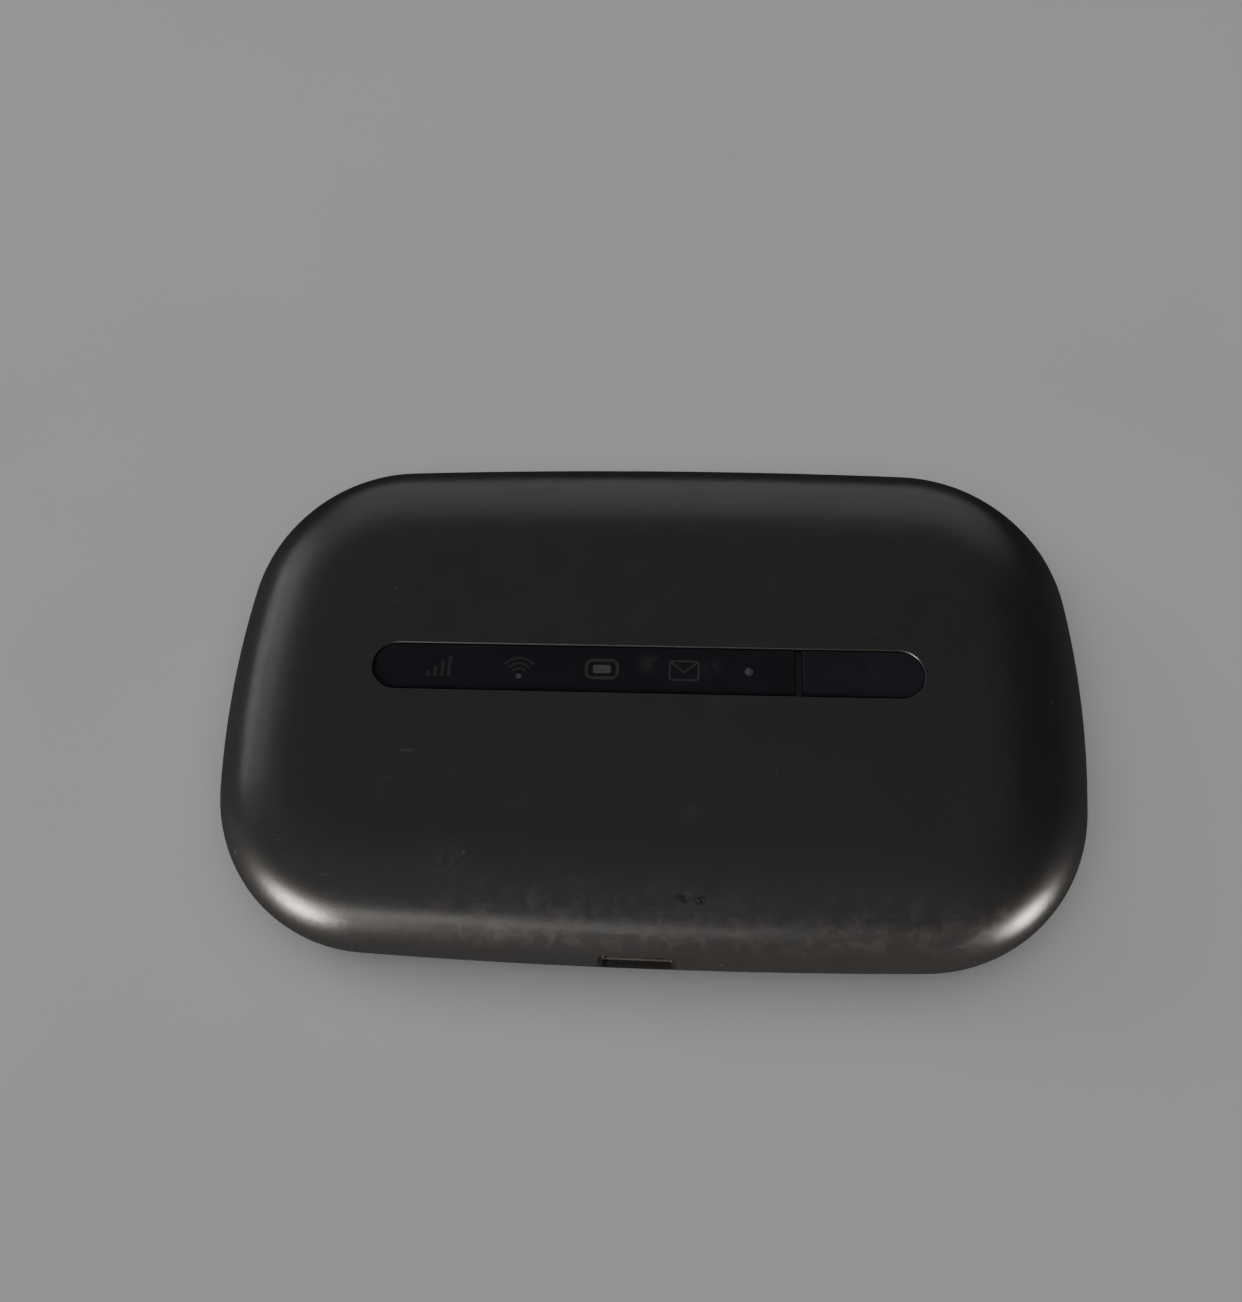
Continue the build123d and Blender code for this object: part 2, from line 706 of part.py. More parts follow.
# ================================================================ chassis with the battery bay
chassis_hollow = slab(pebble(chassis_inset + chassis_wall), chassis_back + chassis_plate, board_back)
hook_pockets = hook_places(hook_length + 2 * hook_play, 0, hook_top + hook_play)
hook_pocket_core = pebble(hook_inner + hook_play)
with BuildPart() as pocket_shape:
    add(hook_pockets)
    add(hook_pocket_core, mode=Mode.SUBTRACT)
with BuildPart() as chassis:
    add(chassis_body)
    split(bisect_by=Plane.XY.offset(chassis_back), keep=Keep.TOP)
    split(bisect_by=Plane.XY.offset(board_back), keep=Keep.BOTTOM)
    add(chassis_hollow, mode=Mode.SUBTRACT)
    # block round the bay, the pads that carry the board and the screw posts
    with BuildSketch(Plane.XY.offset(chassis_back)):
        with Locations((0, battery_y)):
            RectangleRounded(2 * bay_end, 2 * bay_side, battery_corner + battery_play + bay_wall)
    extrude(amount=bay_front - chassis_back)
    with BuildSketch(Plane.XY.offset(bay_front)):
        with Locations(*[(x, y) for x in (-support_x, support_x) for y in (-support_y, support_y)]):
            Circle(support_diameter / 2)
    extrude(amount=board_back - bay_front)
    with BuildSketch(Plane.XY.offset(chassis_back)):
        with Locations(*screw_places):
            Circle(post_diameter / 2)
    extrude(amount=board_back - chassis_back)
    add(chassis_body, mode=Mode.INTERSECT)
    # the bay itself
    with BuildSketch():
        with Locations((0, battery_y)):
            RectangleRounded(
                battery_length + 2 * battery_play,
                battery_width + 2 * battery_play,
                battery_corner + battery_play,
            )
    extrude(amount=bay_back, mode=Mode.SUBTRACT)
    with BuildSketch(Plane.XY.offset(bay_back)):
        with Locations((sim_x, sim_y)):
            Rectangle(sim_length + 2 * battery_play, sim_width + 2 * battery_play)
    extrude(amount=bay_floor, mode=Mode.SUBTRACT)
    # screw wells and holes
    with BuildSketch():
        with Locations(*screw_places):
            Circle(well_diameter / 2)
    extrude(amount=well_top, mode=Mode.SUBTRACT)
    with BuildSketch():
        with Locations(*screw_places):
            Circle(screw_shaft / 2 + screw_clearance)
    extrude(amount=board_back, mode=Mode.SUBTRACT)
    # hook pockets, open towards the underside
    add(pocket_shape.part, mode=Mode.SUBTRACT)
    # way in to the charging socket
    with BuildSketch(Plane.XY.offset(usb_z - usb_height / 2 - battery_play)):
        with Locations((0, usb_back + battery_play)):
            Rectangle(usb_width + 2 * battery_play, FAR, align=(Align.CENTER, Align.MAX))
    extrude(amount=board_back, mode=Mode.SUBTRACT)
    # window for the battery contacts
    with BuildSketch(Plane.XY.offset(contact_z - terminal_height / 2 - battery_play)):
        with Locations((-bay_end, contact_y)):
            Rectangle(2 * bay_wall + battery_play, contact_count * contact_pitch)
    extrude(amount=terminal_height + 2 * battery_play, mode=Mode.SUBTRACT)
    # hole for the reset button
    with BuildSketch():
        with Locations((reset_x, reset_y)):
            Circle(reset_diameter / 2 + stem_play)
    extrude(amount=chassis_back + chassis_plate, mode=Mode.SUBTRACT)
chassis.part.label = "chassis"
export_step(chassis.part, "parts/chassis.step")

with BuildPart() as chassis_screws:
    with BuildSketch(Plane.XY.offset(well_top - screw_head_height)):
        with Locations(*screw_places):
            Circle(screw_head / 2)
    extrude(amount=screw_head_height)
    fillet(chassis_screws.faces().group_by(Axis.Z)[0].edges(), screw_head_height / 3)
    with BuildSketch(Plane.XY.offset(well_top)):
        with Locations(*screw_places):
            Circle(screw_shaft / 2)
    extrude(amount=screw_length)
    with BuildSketch(Plane.XY.offset(well_top - screw_head_height)):
        with Locations(*screw_places):
            Rectangle(screw_slot_length, screw_slot_width)
            Rectangle(screw_slot_width, screw_slot_length)
    extrude(amount=screw_head_height / 2, mode=Mode.SUBTRACT)
chassis_screws.part.label = "chassis_screws"
export_step(chassis_screws.part, "parts/chassis_screws.step")

with BuildPart() as bay_label:
    with BuildSketch(Plane.XY.offset(bay_back - label_thickness)):
        with Locations(((bay_label_left + bay_label_right) / 2, battery_y)):
            RectangleRounded(
                bay_label_right - bay_label_left, battery_width - 2 * bay_label_side_room, pad_corner
            )
    extrude(amount=label_thickness)
bay_label.part.label = "bay_label"
export_step(bay_label.part, "parts/bay_label.step")

with BuildPart() as moisture_mark:
    with BuildSketch(Plane.XY.offset(chassis_back - label_thickness)):
        with Locations((screw_x, 0)):
            Circle(moisture_mark_diameter / 2)
    extrude(amount=label_thickness)
moisture_mark.part.label = "moisture_mark"
export_step(moisture_mark.part, "parts/moisture_mark.step")

# ================================================================ reset button and its switch
reset_reach = reset_travel + stem_play
reset_stem_back = board_back - switch_height - reset_reach
with BuildPart() as reset_button:
    with BuildSketch(Plane.XY.offset(chassis_back + reset_recess)):
        with Locations((reset_x, reset_y)):
            Circle(reset_diameter / 2)
    extrude(amount=reset_stem_back - stem_play - chassis_back - reset_recess)
    with BuildSketch(Plane.XY.offset(chassis_back + chassis_plate + button_gap)):
        with Locations((reset_x, reset_y)):
            Circle(reset_diameter / 2 + flange_width)
    extrude(amount=flange_thickness)
reset_button.part.label = "reset_button"
export_step(reset_button.part, "parts/reset_button.step")

with BuildPart() as reset_switch:
    with BuildSketch(Plane.XY.offset(board_back - switch_height)):
        with Locations((reset_x, reset_y)):
            Rectangle(switch_case, switch_case)
            Circle(switch_stem / 2 + stem_play, mode=Mode.SUBTRACT)
    extrude(amount=switch_height)
reset_switch.part.label = "reset_switch"
export_step(reset_switch.part, "parts/reset_switch.step")

with BuildPart() as reset_switch_stem:
    with BuildSketch(Plane.XY.offset(reset_stem_back)):
        with Locations((reset_x, reset_y)):
            Circle(switch_stem / 2)
    extrude(amount=switch_height)
reset_switch_stem.part.label = "reset_switch_stem"
export_step(reset_switch_stem.part, "parts/reset_switch_stem.step")

# ================================================================ circuit board
board_outline = plan(board_margin)
with BuildPart() as main_board:
    with BuildSketch(Plane.XY.offset(board_back)):
        add(board_outline)
        with Locations(((board_right - board_left) / 2, 0)):
            Rectangle(board_right + board_left, FAR, mode=Mode.INTERSECT)
        with Locations(*screw_places):
            Circle(screw_shaft / 2 + screw_clearance, mode=Mode.SUBTRACT)
    extrude(amount=board_thickness)
main_board.part.label = "main_board"
export_step(main_board.part, "parts/main_board.step")

# ================================================================ charging socket
with BuildSketch(Plane.XZ.offset(-usb_back)) as usb_outline:
    with Locations((0, usb_z)):
        Rectangle(usb_width, usb_height)
    chamfer(usb_outline.vertices().sort_by(Axis.Y)[-2:], usb_corner)
with BuildSketch(Plane.XZ.offset(-usb_back)) as usb_inside:
    with Locations((0, usb_z)):
        Rectangle(usb_width - 2 * usb_sheet, usb_height - 2 * usb_sheet)
    chamfer(usb_inside.vertices().sort_by(Axis.Y)[-2:], usb_corner - usb_sheet / 2)
with BuildPart() as usb_shell:
    extrude(usb_outline.sketch, amount=usb_depth, dir=(0, -1, 0))
    extrude(usb_inside.sketch, amount=usb_depth, dir=(0, -1, 0), mode=Mode.SUBTRACT)
usb_shell.part.label = "usb_shell"
export_step(usb_shell.part, "parts/usb_shell.step")

tongue_z = usb_z + usb_height / 2 - usb_sheet - usb_tongue_drop - usb_tongue_thickness
tongue_depth = usb_depth - usb_tongue_recess
with BuildPart() as usb_tongue:
    extrude(usb_inside.sketch, amount=usb_back_block, dir=(0, -1, 0))
    with BuildSketch(Plane.XZ.offset(-usb_back)):
        with Locations((0, tongue_z)):
            Rectangle(usb_tongue_width, usb_tongue_thickness, align=(Align.CENTER, Align.MIN))
    extrude(amount=tongue_depth)
usb_tongue.part.label = "usb_tongue"
export_step(usb_tongue.part, "parts/usb_tongue.step")

with BuildPart() as usb_contacts:
    with BuildSketch(Plane.XZ.offset(-usb_back + usb_back_block)):
        with Locations((0, tongue_z - usb_contact_thickness / 2)):
            with GridLocations(usb_contact_pitch, 1, usb_contact_count, 1):
                Rectangle(usb_contact_width, usb_contact_thickness)
    extrude(amount=tongue_depth - usb_back_block - usb_tongue_recess / 2)
usb_contacts.part.label = "usb_contacts"
export_step(usb_contacts.part, "parts/usb_contacts.step")

# ================================================================ battery connector and its springs
connector_right = -bay_end - contact_gap
connector_left = connector_right - connector_depth
connector_width = contact_count * contact_pitch + connector_margin
connector_back = chassis_back + chassis_plate + battery_play
with BuildPart() as battery_connector:
    with BuildSketch(Plane.XY.offset(connector_back)):
        with Locations(((connector_left + connector_right) / 2, contact_y)):
            Rectangle(connector_depth, connector_width)
    extrude(amount=board_back - connector_back)
battery_connector.part.label = "battery_connector"
export_step(battery_connector.part, "parts/battery_connector.step")

spring_tip = -battery_length / 2 - contact_gap - contact_sheet
spring_reach = terminal_height / 2 - contact_sheet
with BuildPart() as battery_contacts:
    for y in contact_places:
        with BuildSketch(Plane.XZ.offset(-y)) as spring:
            with BuildLine():
                Polyline(
                    (connector_right - connector_depth, contact_z + spring_reach),
                    (connector_right, contact_z + spring_reach),
                    (spring_tip, contact_z),
                    (connector_right, contact_z - spring_reach),
                    (connector_right - connector_depth, contact_z - spring_reach),
                )
            trace(line_width=contact_sheet)
            with Locations((connector_right, contact_z)):
                Rectangle(FAR, FAR, align=(Align.MIN, Align.CENTER), mode=Mode.INTERSECT)
        extrude(amount=contact_width / 2, both=True)
battery_contacts.part.label = "battery_contacts"
export_step(battery_contacts.part, "parts/battery_contacts.step")

# ================================================================ SIM socket behind the battery
sim_back = board_back - sim_height
sim_middle = board_back - sim_height / 2
with BuildPart() as sim_shell:
    with BuildSketch(Plane.XY.offset(sim_back)):
        with Locations((sim_x, sim_y)):
            Rectangle(sim_length, sim_width)
            Rectangle(sim_slot_length, sim_slot_width, mode=Mode.SUBTRACT)
    extrude(amount=sim_sheet)
    with BuildSketch(Plane.XY.offset(sim_back)):
        with Locations((sim_x, sim_y)):
            Rectangle(sim_length, sim_width)
            Rectangle(FAR, sim_width - 2 * sim_sheet, mode=Mode.SUBTRACT)
    extrude(amount=sim_height / 2)
sim_shell.part.label = "sim_shell"
export_step(sim_shell.part, "parts/sim_shell.step")

with BuildPart() as sim_base:
    with BuildSketch(Plane.XY.offset(sim_middle)):
        with Locations((sim_x, sim_y)):
            Rectangle(sim_length, sim_width)
            with GridLocations(sim_pitch_x, sim_pitch_y, sim_columns, sim_rows):
                Rectangle(sim_contact_width, sim_contact_length, mode=Mode.SUBTRACT)
    extrude(amount=sim_height / 2)
sim_base.part.label = "sim_base"
export_step(sim_base.part, "parts/sim_base.step")

with BuildPart() as sim_contacts:
    with BuildSketch(Plane.XY.offset(sim_middle - contact_sheet)):
        with Locations((sim_x, sim_y)):
            with GridLocations(sim_pitch_x, sim_pitch_y, sim_columns, sim_rows):
                Rectangle(sim_contact_width, sim_contact_length)
    extrude(amount=sim_height / 2 + contact_sheet)
sim_contacts.part.label = "sim_contacts"
export_step(sim_contacts.part, "parts/sim_contacts.step")

# ================================================================ parts on the front of the board
processor_can = shielding_can(processor_x, lower_y, processor_can_length, lower_width)
processor_can.label = "processor_can"
export_step(processor_can, "parts/processor_can.step")

radio_can = shielding_can(radio_x, lower_y, radio_can_length, lower_width)
radio_can.label = "radio_can"
export_step(radio_can, "parts/radio_can.step")

power_can = shielding_can(power_x, upper_y, power_can_length, upper_width)
power_can.label = "power_can"
export_step(power_can, "parts/power_can.step")

processor_left = processor_x - processor_can_length / 4
processor = block(processor_left, lower_y, board_front, processor_size, processor_size, chip_thickness)
processor.label = "processor"
export_step(processor, "parts/processor.step")

memory_x = processor_x + processor_can_length / 4
memory_chip = block(memory_x, lower_y, board_front, memory_length, memory_width, chip_thickness)
memory_chip.label = "memory_chip"
export_step(memory_chip, "parts/memory_chip.step")

radio_chip_x = radio_x - radio_can_length / 4
radio_chip = block(radio_chip_x, lower_y, board_front, radio_chip_size, radio_chip_size, chip_thickness)
radio_chip.label = "radio_chip"
export_step(radio_chip, "parts/radio_chip.step")

power_chip_x = power_x - power_can_length / 4
power_chip = block(power_chip_x, upper_y, board_front, power_chip_size, power_chip_size, chip_thickness)
power_chip.label = "power_chip"
export_step(power_chip, "parts/power_chip.step")

wifi_chip = block(wifi_chip_x, upper_y, board_front, wifi_chip_size, wifi_chip_size, chip_thickness)
wifi_chip.label = "wifi_chip"
export_step(wifi_chip, "parts/wifi_chip.step")

crystal_x = wifi_chip_x + wifi_chip_size / 2 + crystal_gap + crystal_length / 2
clock_crystal = block(crystal_x, upper_y, board_front, crystal_length, crystal_width, chip_thickness)
clock_crystal.label = "clock_crystal"
export_step(clock_crystal, "parts/clock_crystal.step")

with BuildPart() as power_amplifiers:
    with BuildSketch(Plane.XY.offset(board_front)):
        with Locations((radio_x + radio_can_length / 4, lower_y)):
            with GridLocations(1, amplifier_pitch, 1, amplifier_count):
                Rectangle(amplifier_size, amplifier_size)
    extrude(amount=chip_thickness)
power_amplifiers.part.label = "power_amplifiers"
export_step(power_amplifiers.part, "parts/power_amplifiers.step")

with BuildPart() as power_inductors:
    with BuildSketch(Plane.XY.offset(board_front)):
        with Locations((power_x + power_can_length / 4, upper_y)):
            with GridLocations(1, inductor_pitch, 1, inductor_count):
                RectangleRounded(inductor_size, inductor_size, inductor_size / 5)
    extrude(amount=inductor_height)
power_inductors.part.label = "power_inductors"
export_step(power_inductors.part, "parts/power_inductors.step")

with BuildPart() as board_capacitors:
    with BuildSketch(Plane.XY.offset(board_front)):
        with Locations((wifi_chip_x + capacitor_shift, upper_y + capacitor_rise)):
            with GridLocations(capacitor_pitch, capacitor_pitch, capacitor_columns, capacitor_rows):
                Rectangle(capacitor_length, capacitor_length / 2)
    extrude(amount=passive_height)
board_capacitors.part.label = "board_capacitors"
export_step(board_capacitors.part, "parts/board_capacitors.step")

thermal_pad = block(
    processor_x, lower_y, can_top,
    processor_can_length / 2, lower_width / 2, cover_inside - can_top - thermal_gap,
)
thermal_pad.label = "thermal_pad"
export_step(thermal_pad, "parts/thermal_pad.step")

# ================================================================ aerials
carrier_shape = slab(pebble(wall + carrier_gap), board_back, board_back + carrier_height)
antenna_shape = slab(pebble(wall + antenna_gap), board_back, board_back + carrier_height)
with BuildPart() as main_antenna_carrier:
    add(carrier_shape)
    with Locations((board_right + carrier_gap, 0, 0)):
        Box(FAR, carrier_width, FAR, align=(Align.MIN, Align.CENTER, Align.CENTER), mode=Mode.INTERSECT)
main_antenna_carrier.part.label = "main_antenna_carrier"
export_step(main_antenna_carrier.part, "parts/main_antenna_carrier.step")

with BuildPart() as second_antenna_carrier:
    add(carrier_shape)
    with Locations((-board_left - carrier_gap, 0, 0)):
        Box(FAR, carrier_width, FAR, align=(Align.MAX, Align.CENTER, Align.CENTER), mode=Mode.INTERSECT)
second_antenna_carrier.part.label = "second_antenna_carrier"
export_step(second_antenna_carrier.part, "parts/second_antenna_carrier.step")


def aerial(side, inner_x, half_width, slots):
    """A foil that snakes over the end carrier; side is 1 at the button's end and -1 at the other."""
    near = side * inner_x
    far = side * (length / 2 - antenna_edge)
    with BuildPart() as foil:
        add(antenna_shape)
        add(carrier_shape, mode=Mode.SUBTRACT)
        with BuildSketch():
            with Locations((near + side * FAR / 2, 0)):
                Rectangle(FAR, 2 * half_width)
            for i in range(slots):
                y = -half_width + (i + 1) * 2 * half_width / (slots + 1)
                start = near if i % 2 else near + side * antenna_strip
                end = far - side * antenna_strip if i % 2 else side * FAR
                with Locations(((start + end) / 2, y)):
                    Rectangle(abs(end - start), antenna_slot, mode=Mode.SUBTRACT)
        extrude(amount=FAR, mode=Mode.INTERSECT)
    return foil.part


aerial_half_width = carrier_width / 2 - antenna_margin
aerial_gap = carrier_gap + antenna_margin
main_antenna = aerial(1, board_right + aerial_gap, aerial_half_width, main_slots)
main_antenna.label = "main_antenna"
export_step(main_antenna, "parts/main_antenna.step")

second_antenna = aerial(-1, board_left + aerial_gap, aerial_half_width, second_slots)
second_antenna.label = "second_antenna"
export_step(second_antenna, "parts/second_antenna.step")

with BuildPart() as wifi_antenna:
    with BuildSketch(Plane.XZ.offset(-wifi_antenna_y)):
        with Locations((0, board_front)):
            Rectangle(wifi_antenna_length, wifi_antenna_height, align=(Align.CENTER, Align.MIN))
            Rectangle(
                wifi_antenna_length - 2 * wifi_leg, wifi_antenna_height - clip_sheet,
                align=(Align.CENTER, Align.MIN), mode=Mode.SUBTRACT,
            )
    extrude(amount=wifi_antenna_width)
wifi_antenna.part.label = "wifi_antenna"
export_step(wifi_antenna.part, "parts/wifi_antenna.step")

with BuildPart() as antenna_clips:
    with BuildSketch(Plane.XZ):
        for x in (board_right - clip_length, -board_left + clip_length):
            with Locations((x, board_front)):
                Rectangle(clip_length, clip_height, align=(Align.CENTER, Align.MIN))
                with Locations((0, clip_sheet)):
                    Rectangle(
                        clip_length - 2 * clip_sheet, clip_height - 2 * clip_sheet,
                        align=(Align.CENTER, Align.MIN), mode=Mode.SUBTRACT,
                    )
    extrude(amount=clip_width / 2, both=True)
antenna_clips.part.label = "antenna_clips"
export_step(antenna_clips.part, "parts/antenna_clips.step")
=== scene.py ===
import json
import math
import bmesh
import bpy
from mathutils import Matrix, Vector

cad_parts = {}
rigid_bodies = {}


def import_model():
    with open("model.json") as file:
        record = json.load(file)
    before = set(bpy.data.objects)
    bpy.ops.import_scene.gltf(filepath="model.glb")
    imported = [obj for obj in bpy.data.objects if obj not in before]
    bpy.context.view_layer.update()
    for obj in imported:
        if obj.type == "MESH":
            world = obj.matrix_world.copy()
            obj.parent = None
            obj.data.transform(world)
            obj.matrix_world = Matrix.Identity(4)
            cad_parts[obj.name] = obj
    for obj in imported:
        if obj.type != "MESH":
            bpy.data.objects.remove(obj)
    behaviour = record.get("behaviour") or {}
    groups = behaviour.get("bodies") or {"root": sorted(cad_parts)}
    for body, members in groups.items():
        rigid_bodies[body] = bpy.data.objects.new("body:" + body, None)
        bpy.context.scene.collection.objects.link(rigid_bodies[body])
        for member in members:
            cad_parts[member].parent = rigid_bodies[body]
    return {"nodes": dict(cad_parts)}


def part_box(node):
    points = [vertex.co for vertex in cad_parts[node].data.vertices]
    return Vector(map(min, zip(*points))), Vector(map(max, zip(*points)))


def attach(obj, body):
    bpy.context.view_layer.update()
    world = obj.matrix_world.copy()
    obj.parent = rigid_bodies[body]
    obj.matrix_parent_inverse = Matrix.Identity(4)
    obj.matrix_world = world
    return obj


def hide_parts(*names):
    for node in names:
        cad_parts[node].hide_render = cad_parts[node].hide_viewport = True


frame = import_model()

# Lengths below are millimetres, as on the drawing, and are turned into metres by mm.
mm = 0.001
nodes = frame["nodes"]

for leftover in list(bpy.data.objects):
    if leftover.name not in nodes and not leftover.name.startswith("body:"):
        bpy.data.objects.remove(leftover)
bpy.context.view_layer.update()


# ---------------------------------------------------------------- camera
def hand_held_camera(distance, elevation, yaw, roll, pan, tilt, lens, shift):
    """The view from a hand held over the near long side. Angles are degrees, and shift is a share of
    the picture's long side."""
    e, y = math.radians(elevation), math.radians(yaw)
    back = Vector((math.sin(y) * math.cos(e), -math.cos(y) * math.cos(e), math.sin(e)))
    forward = -back
    right = Vector((math.cos(y), math.sin(y), 0))
    up = right.cross(forward)
    for angle, axis in ((pan, "up"), (tilt, "right"), (roll, "forward")):
        about = {"up": up, "right": right, "forward": forward}[axis]
        turn = Matrix.Rotation(math.radians(angle), 3, about)
        forward, right, up = turn @ forward, turn @ right, turn @ up
    place = Vector((0, 0, mid_height)) + back * distance
    bpy.ops.object.camera_add()
    camera = bpy.context.object
    camera.name = "camera"
    turned = Matrix((right, up, -forward)).transposed().to_4x4()
    camera.matrix_world = Matrix.Translation(place * mm) @ turned
    camera.data.sensor_width = 36
    camera.data.lens = lens
    camera.data.shift_y = shift
    camera.data.clip_start = 0.005
    bpy.context.scene.camera = camera


mid_height = 6.4
hand_held_camera(distance=154.74, elevation=71.07, yaw=10.95, roll=9.28, pan=-0.45, tilt=9.57,
                 lens=36.995392, shift=-0.1359447)


# ---------------------------------------------------------------- materials
class Finish:
    """A procedural material on Object coordinates, built up layer by layer. Sizes are millimetres."""

    def __init__(self, name, colour, roughness, metallic=0.0, **sockets):
        self.material = bpy.data.materials.new(name)
        self.material.use_nodes = True
        self.tree = self.material.node_tree
        self.shader = self.tree.nodes["Principled BSDF"]
        self.shader.inputs["Metallic"].default_value = metallic
        for label, value in sockets.items():
            self.shader.inputs[label.replace("_", " ").title().replace("Ior", "IOR")].default_value = value
        self.coords = self.node("ShaderNodeTexCoord").outputs["Object"]
        self.colour = (*colour, 1)
        self.rough = roughness
        self.normal = None
        self.shader.inputs["Base Color"].default_value = (*colour, 1)
        self.shader.inputs["Roughness"].default_value = roughness

    def node(self, kind, **settings):
        made = self.tree.nodes.new(kind)
        for key, value in settings.items():
            setattr(made, key, value)
        return made

    def link(self, source, target):
        if isinstance(source, bpy.types.NodeSocket):
            self.tree.links.new(source, target)
        else:
            target.default_value = source

    def placed(self, turn=(0, 0, 0), stretch=(1, 1, 1), centre=(0, 0, 0)):
        """Object coordinates about a centre, turned, then stretched."""
        shift = self.node("ShaderNodeVectorMath", operation="SUBTRACT")
        self.link(self.coords, shift.inputs[0])
        shift.inputs[1].default_value = [v * mm for v in centre]
        mapping = self.node("ShaderNodeMapping")
        mapping.inputs["Rotation"].default_value = [math.radians(a) for a in turn]
        mapping.inputs["Scale"].default_value = stretch
        self.link(shift.outputs[0], mapping.inputs["Vector"])
        return mapping.outputs[0]

    def noise(self, size, detail=2.0, low=0.0, high=1.0, distortion=0.0, coords=None):
        """Cloudy pattern whose patches are about size across, stretched so low..high gives 0..1."""
        made = self.node("ShaderNodeTexNoise")
        made.inputs["Scale"].default_value = 1 / (size * mm)
        made.inputs["Detail"].default_value = detail
        made.inputs["Distortion"].default_value = distortion
        self.link(coords or self.coords, made.inputs["Vector"])
        return self.ranged(made.outputs["Fac"], low, high)

    def cells(self, size, low=0.0, high=1.0):
        """Distance to scattered points about size apart, as a share of size."""
        made = self.node("ShaderNodeTexVoronoi")
        made.inputs["Scale"].default_value = 1 / (size * mm)
        self.link(self.coords, made.inputs["Vector"])
        return self.ranged(made.outputs["Distance"], low, high)

    def ranged(self, value, low, high):
        """0 at low and 1 at high."""
        made = self.node("ShaderNodeMapRange")
        self.link(value, made.inputs["Value"])
        made.inputs["From Min"].default_value = low
        made.inputs["From Max"].default_value = high
        return made.outputs["Result"]

    def times(self, first, second):
        made = self.node("ShaderNodeMath", operation="MULTIPLY")
        self.link(first, made.inputs[0])
        self.link(second, made.inputs[1])
        return made.outputs[0]

    def near(self, centre, reach, stretch=(1, 1, 1)):
        """1 at a place on the piece, falling to 0 at reach."""
        far = self.node("ShaderNodeVectorMath", operation="LENGTH")
        self.link(self.placed(centre=centre, stretch=stretch), far.inputs[0])
        return self.ranged(far.outputs["Value"], reach * mm, 0)

    def axis(self, label, low, high):
        """0 at low and 1 at high along one axis."""
        parts = self.node("ShaderNodeSeparateXYZ")
        self.link(self.coords, parts.inputs[0])
        return self.ranged(parts.outputs[label], low * mm, high * mm)

    def tint(self, mask, colour, amount=1.0):
        """Moves the colour towards another where the mask is 1."""
        mix = self.node("ShaderNodeMix", data_type="RGBA")
        self.link(self.times(mask, amount), mix.inputs["Factor"])
        self.link(self.colour, mix.inputs[6])
        mix.inputs[7].default_value = (*colour, 1)
        self.colour = mix.outputs[2]
        self.link(self.colour, self.shader.inputs["Base Color"])

    def dull(self, mask, roughness, amount=1.0):
        """Moves the roughness towards a value where the mask is 1."""
        mix = self.node("ShaderNodeMix", data_type="FLOAT")
        self.link(self.times(mask, amount), mix.inputs["Factor"])
        self.link(self.rough, mix.inputs[2])
        mix.inputs[3].default_value = roughness
        self.rough = mix.outputs[0]
        self.link(self.rough, self.shader.inputs["Roughness"])

    def relief(self, height, depth):
        """Fine unevenness of a real depth."""
        bump = self.node("ShaderNodeBump")
        bump.inputs["Distance"].default_value = depth * mm
        self.link(height, bump.inputs["Height"])
        if self.normal is not None:
            self.link(self.normal, bump.inputs["Normal"])
        self.normal = bump.outputs[0]
        self.link(self.normal, self.shader.inputs["Normal"])

    def scratches(self, spacing, turn, colour, amount, keep=0.6):
        """Short fine hairlines in one direction."""
        along = self.placed(turn=(0, 0, turn), stretch=(0.06, 1, 1))
        lines = self.noise(spacing, 1.0, 0.72, 0.78, coords=along)
        patches = self.noise(spacing * 12, 1.0, keep, keep + 0.08)
        marks = self.times(lines, patches)
        self.tint(marks, colour, amount)
        self.dull(marks, 0.6, amount)

    def specks(self, spacing, width, colour, amount):
        """Scattered small spots of dust or rubbed plastic."""
        spots = self.cells(spacing, width / spacing, width / spacing * 0.5)
        patches = self.noise(spacing * 3, 1.0, 0.5, 0.6)
        self.tint(self.times(spots, patches), colour, amount)

    def wear(self, *piece_names):
        for name in piece_names:
            slots = nodes[name].data.materials
            slots.clear()
            slots.append(self.material)


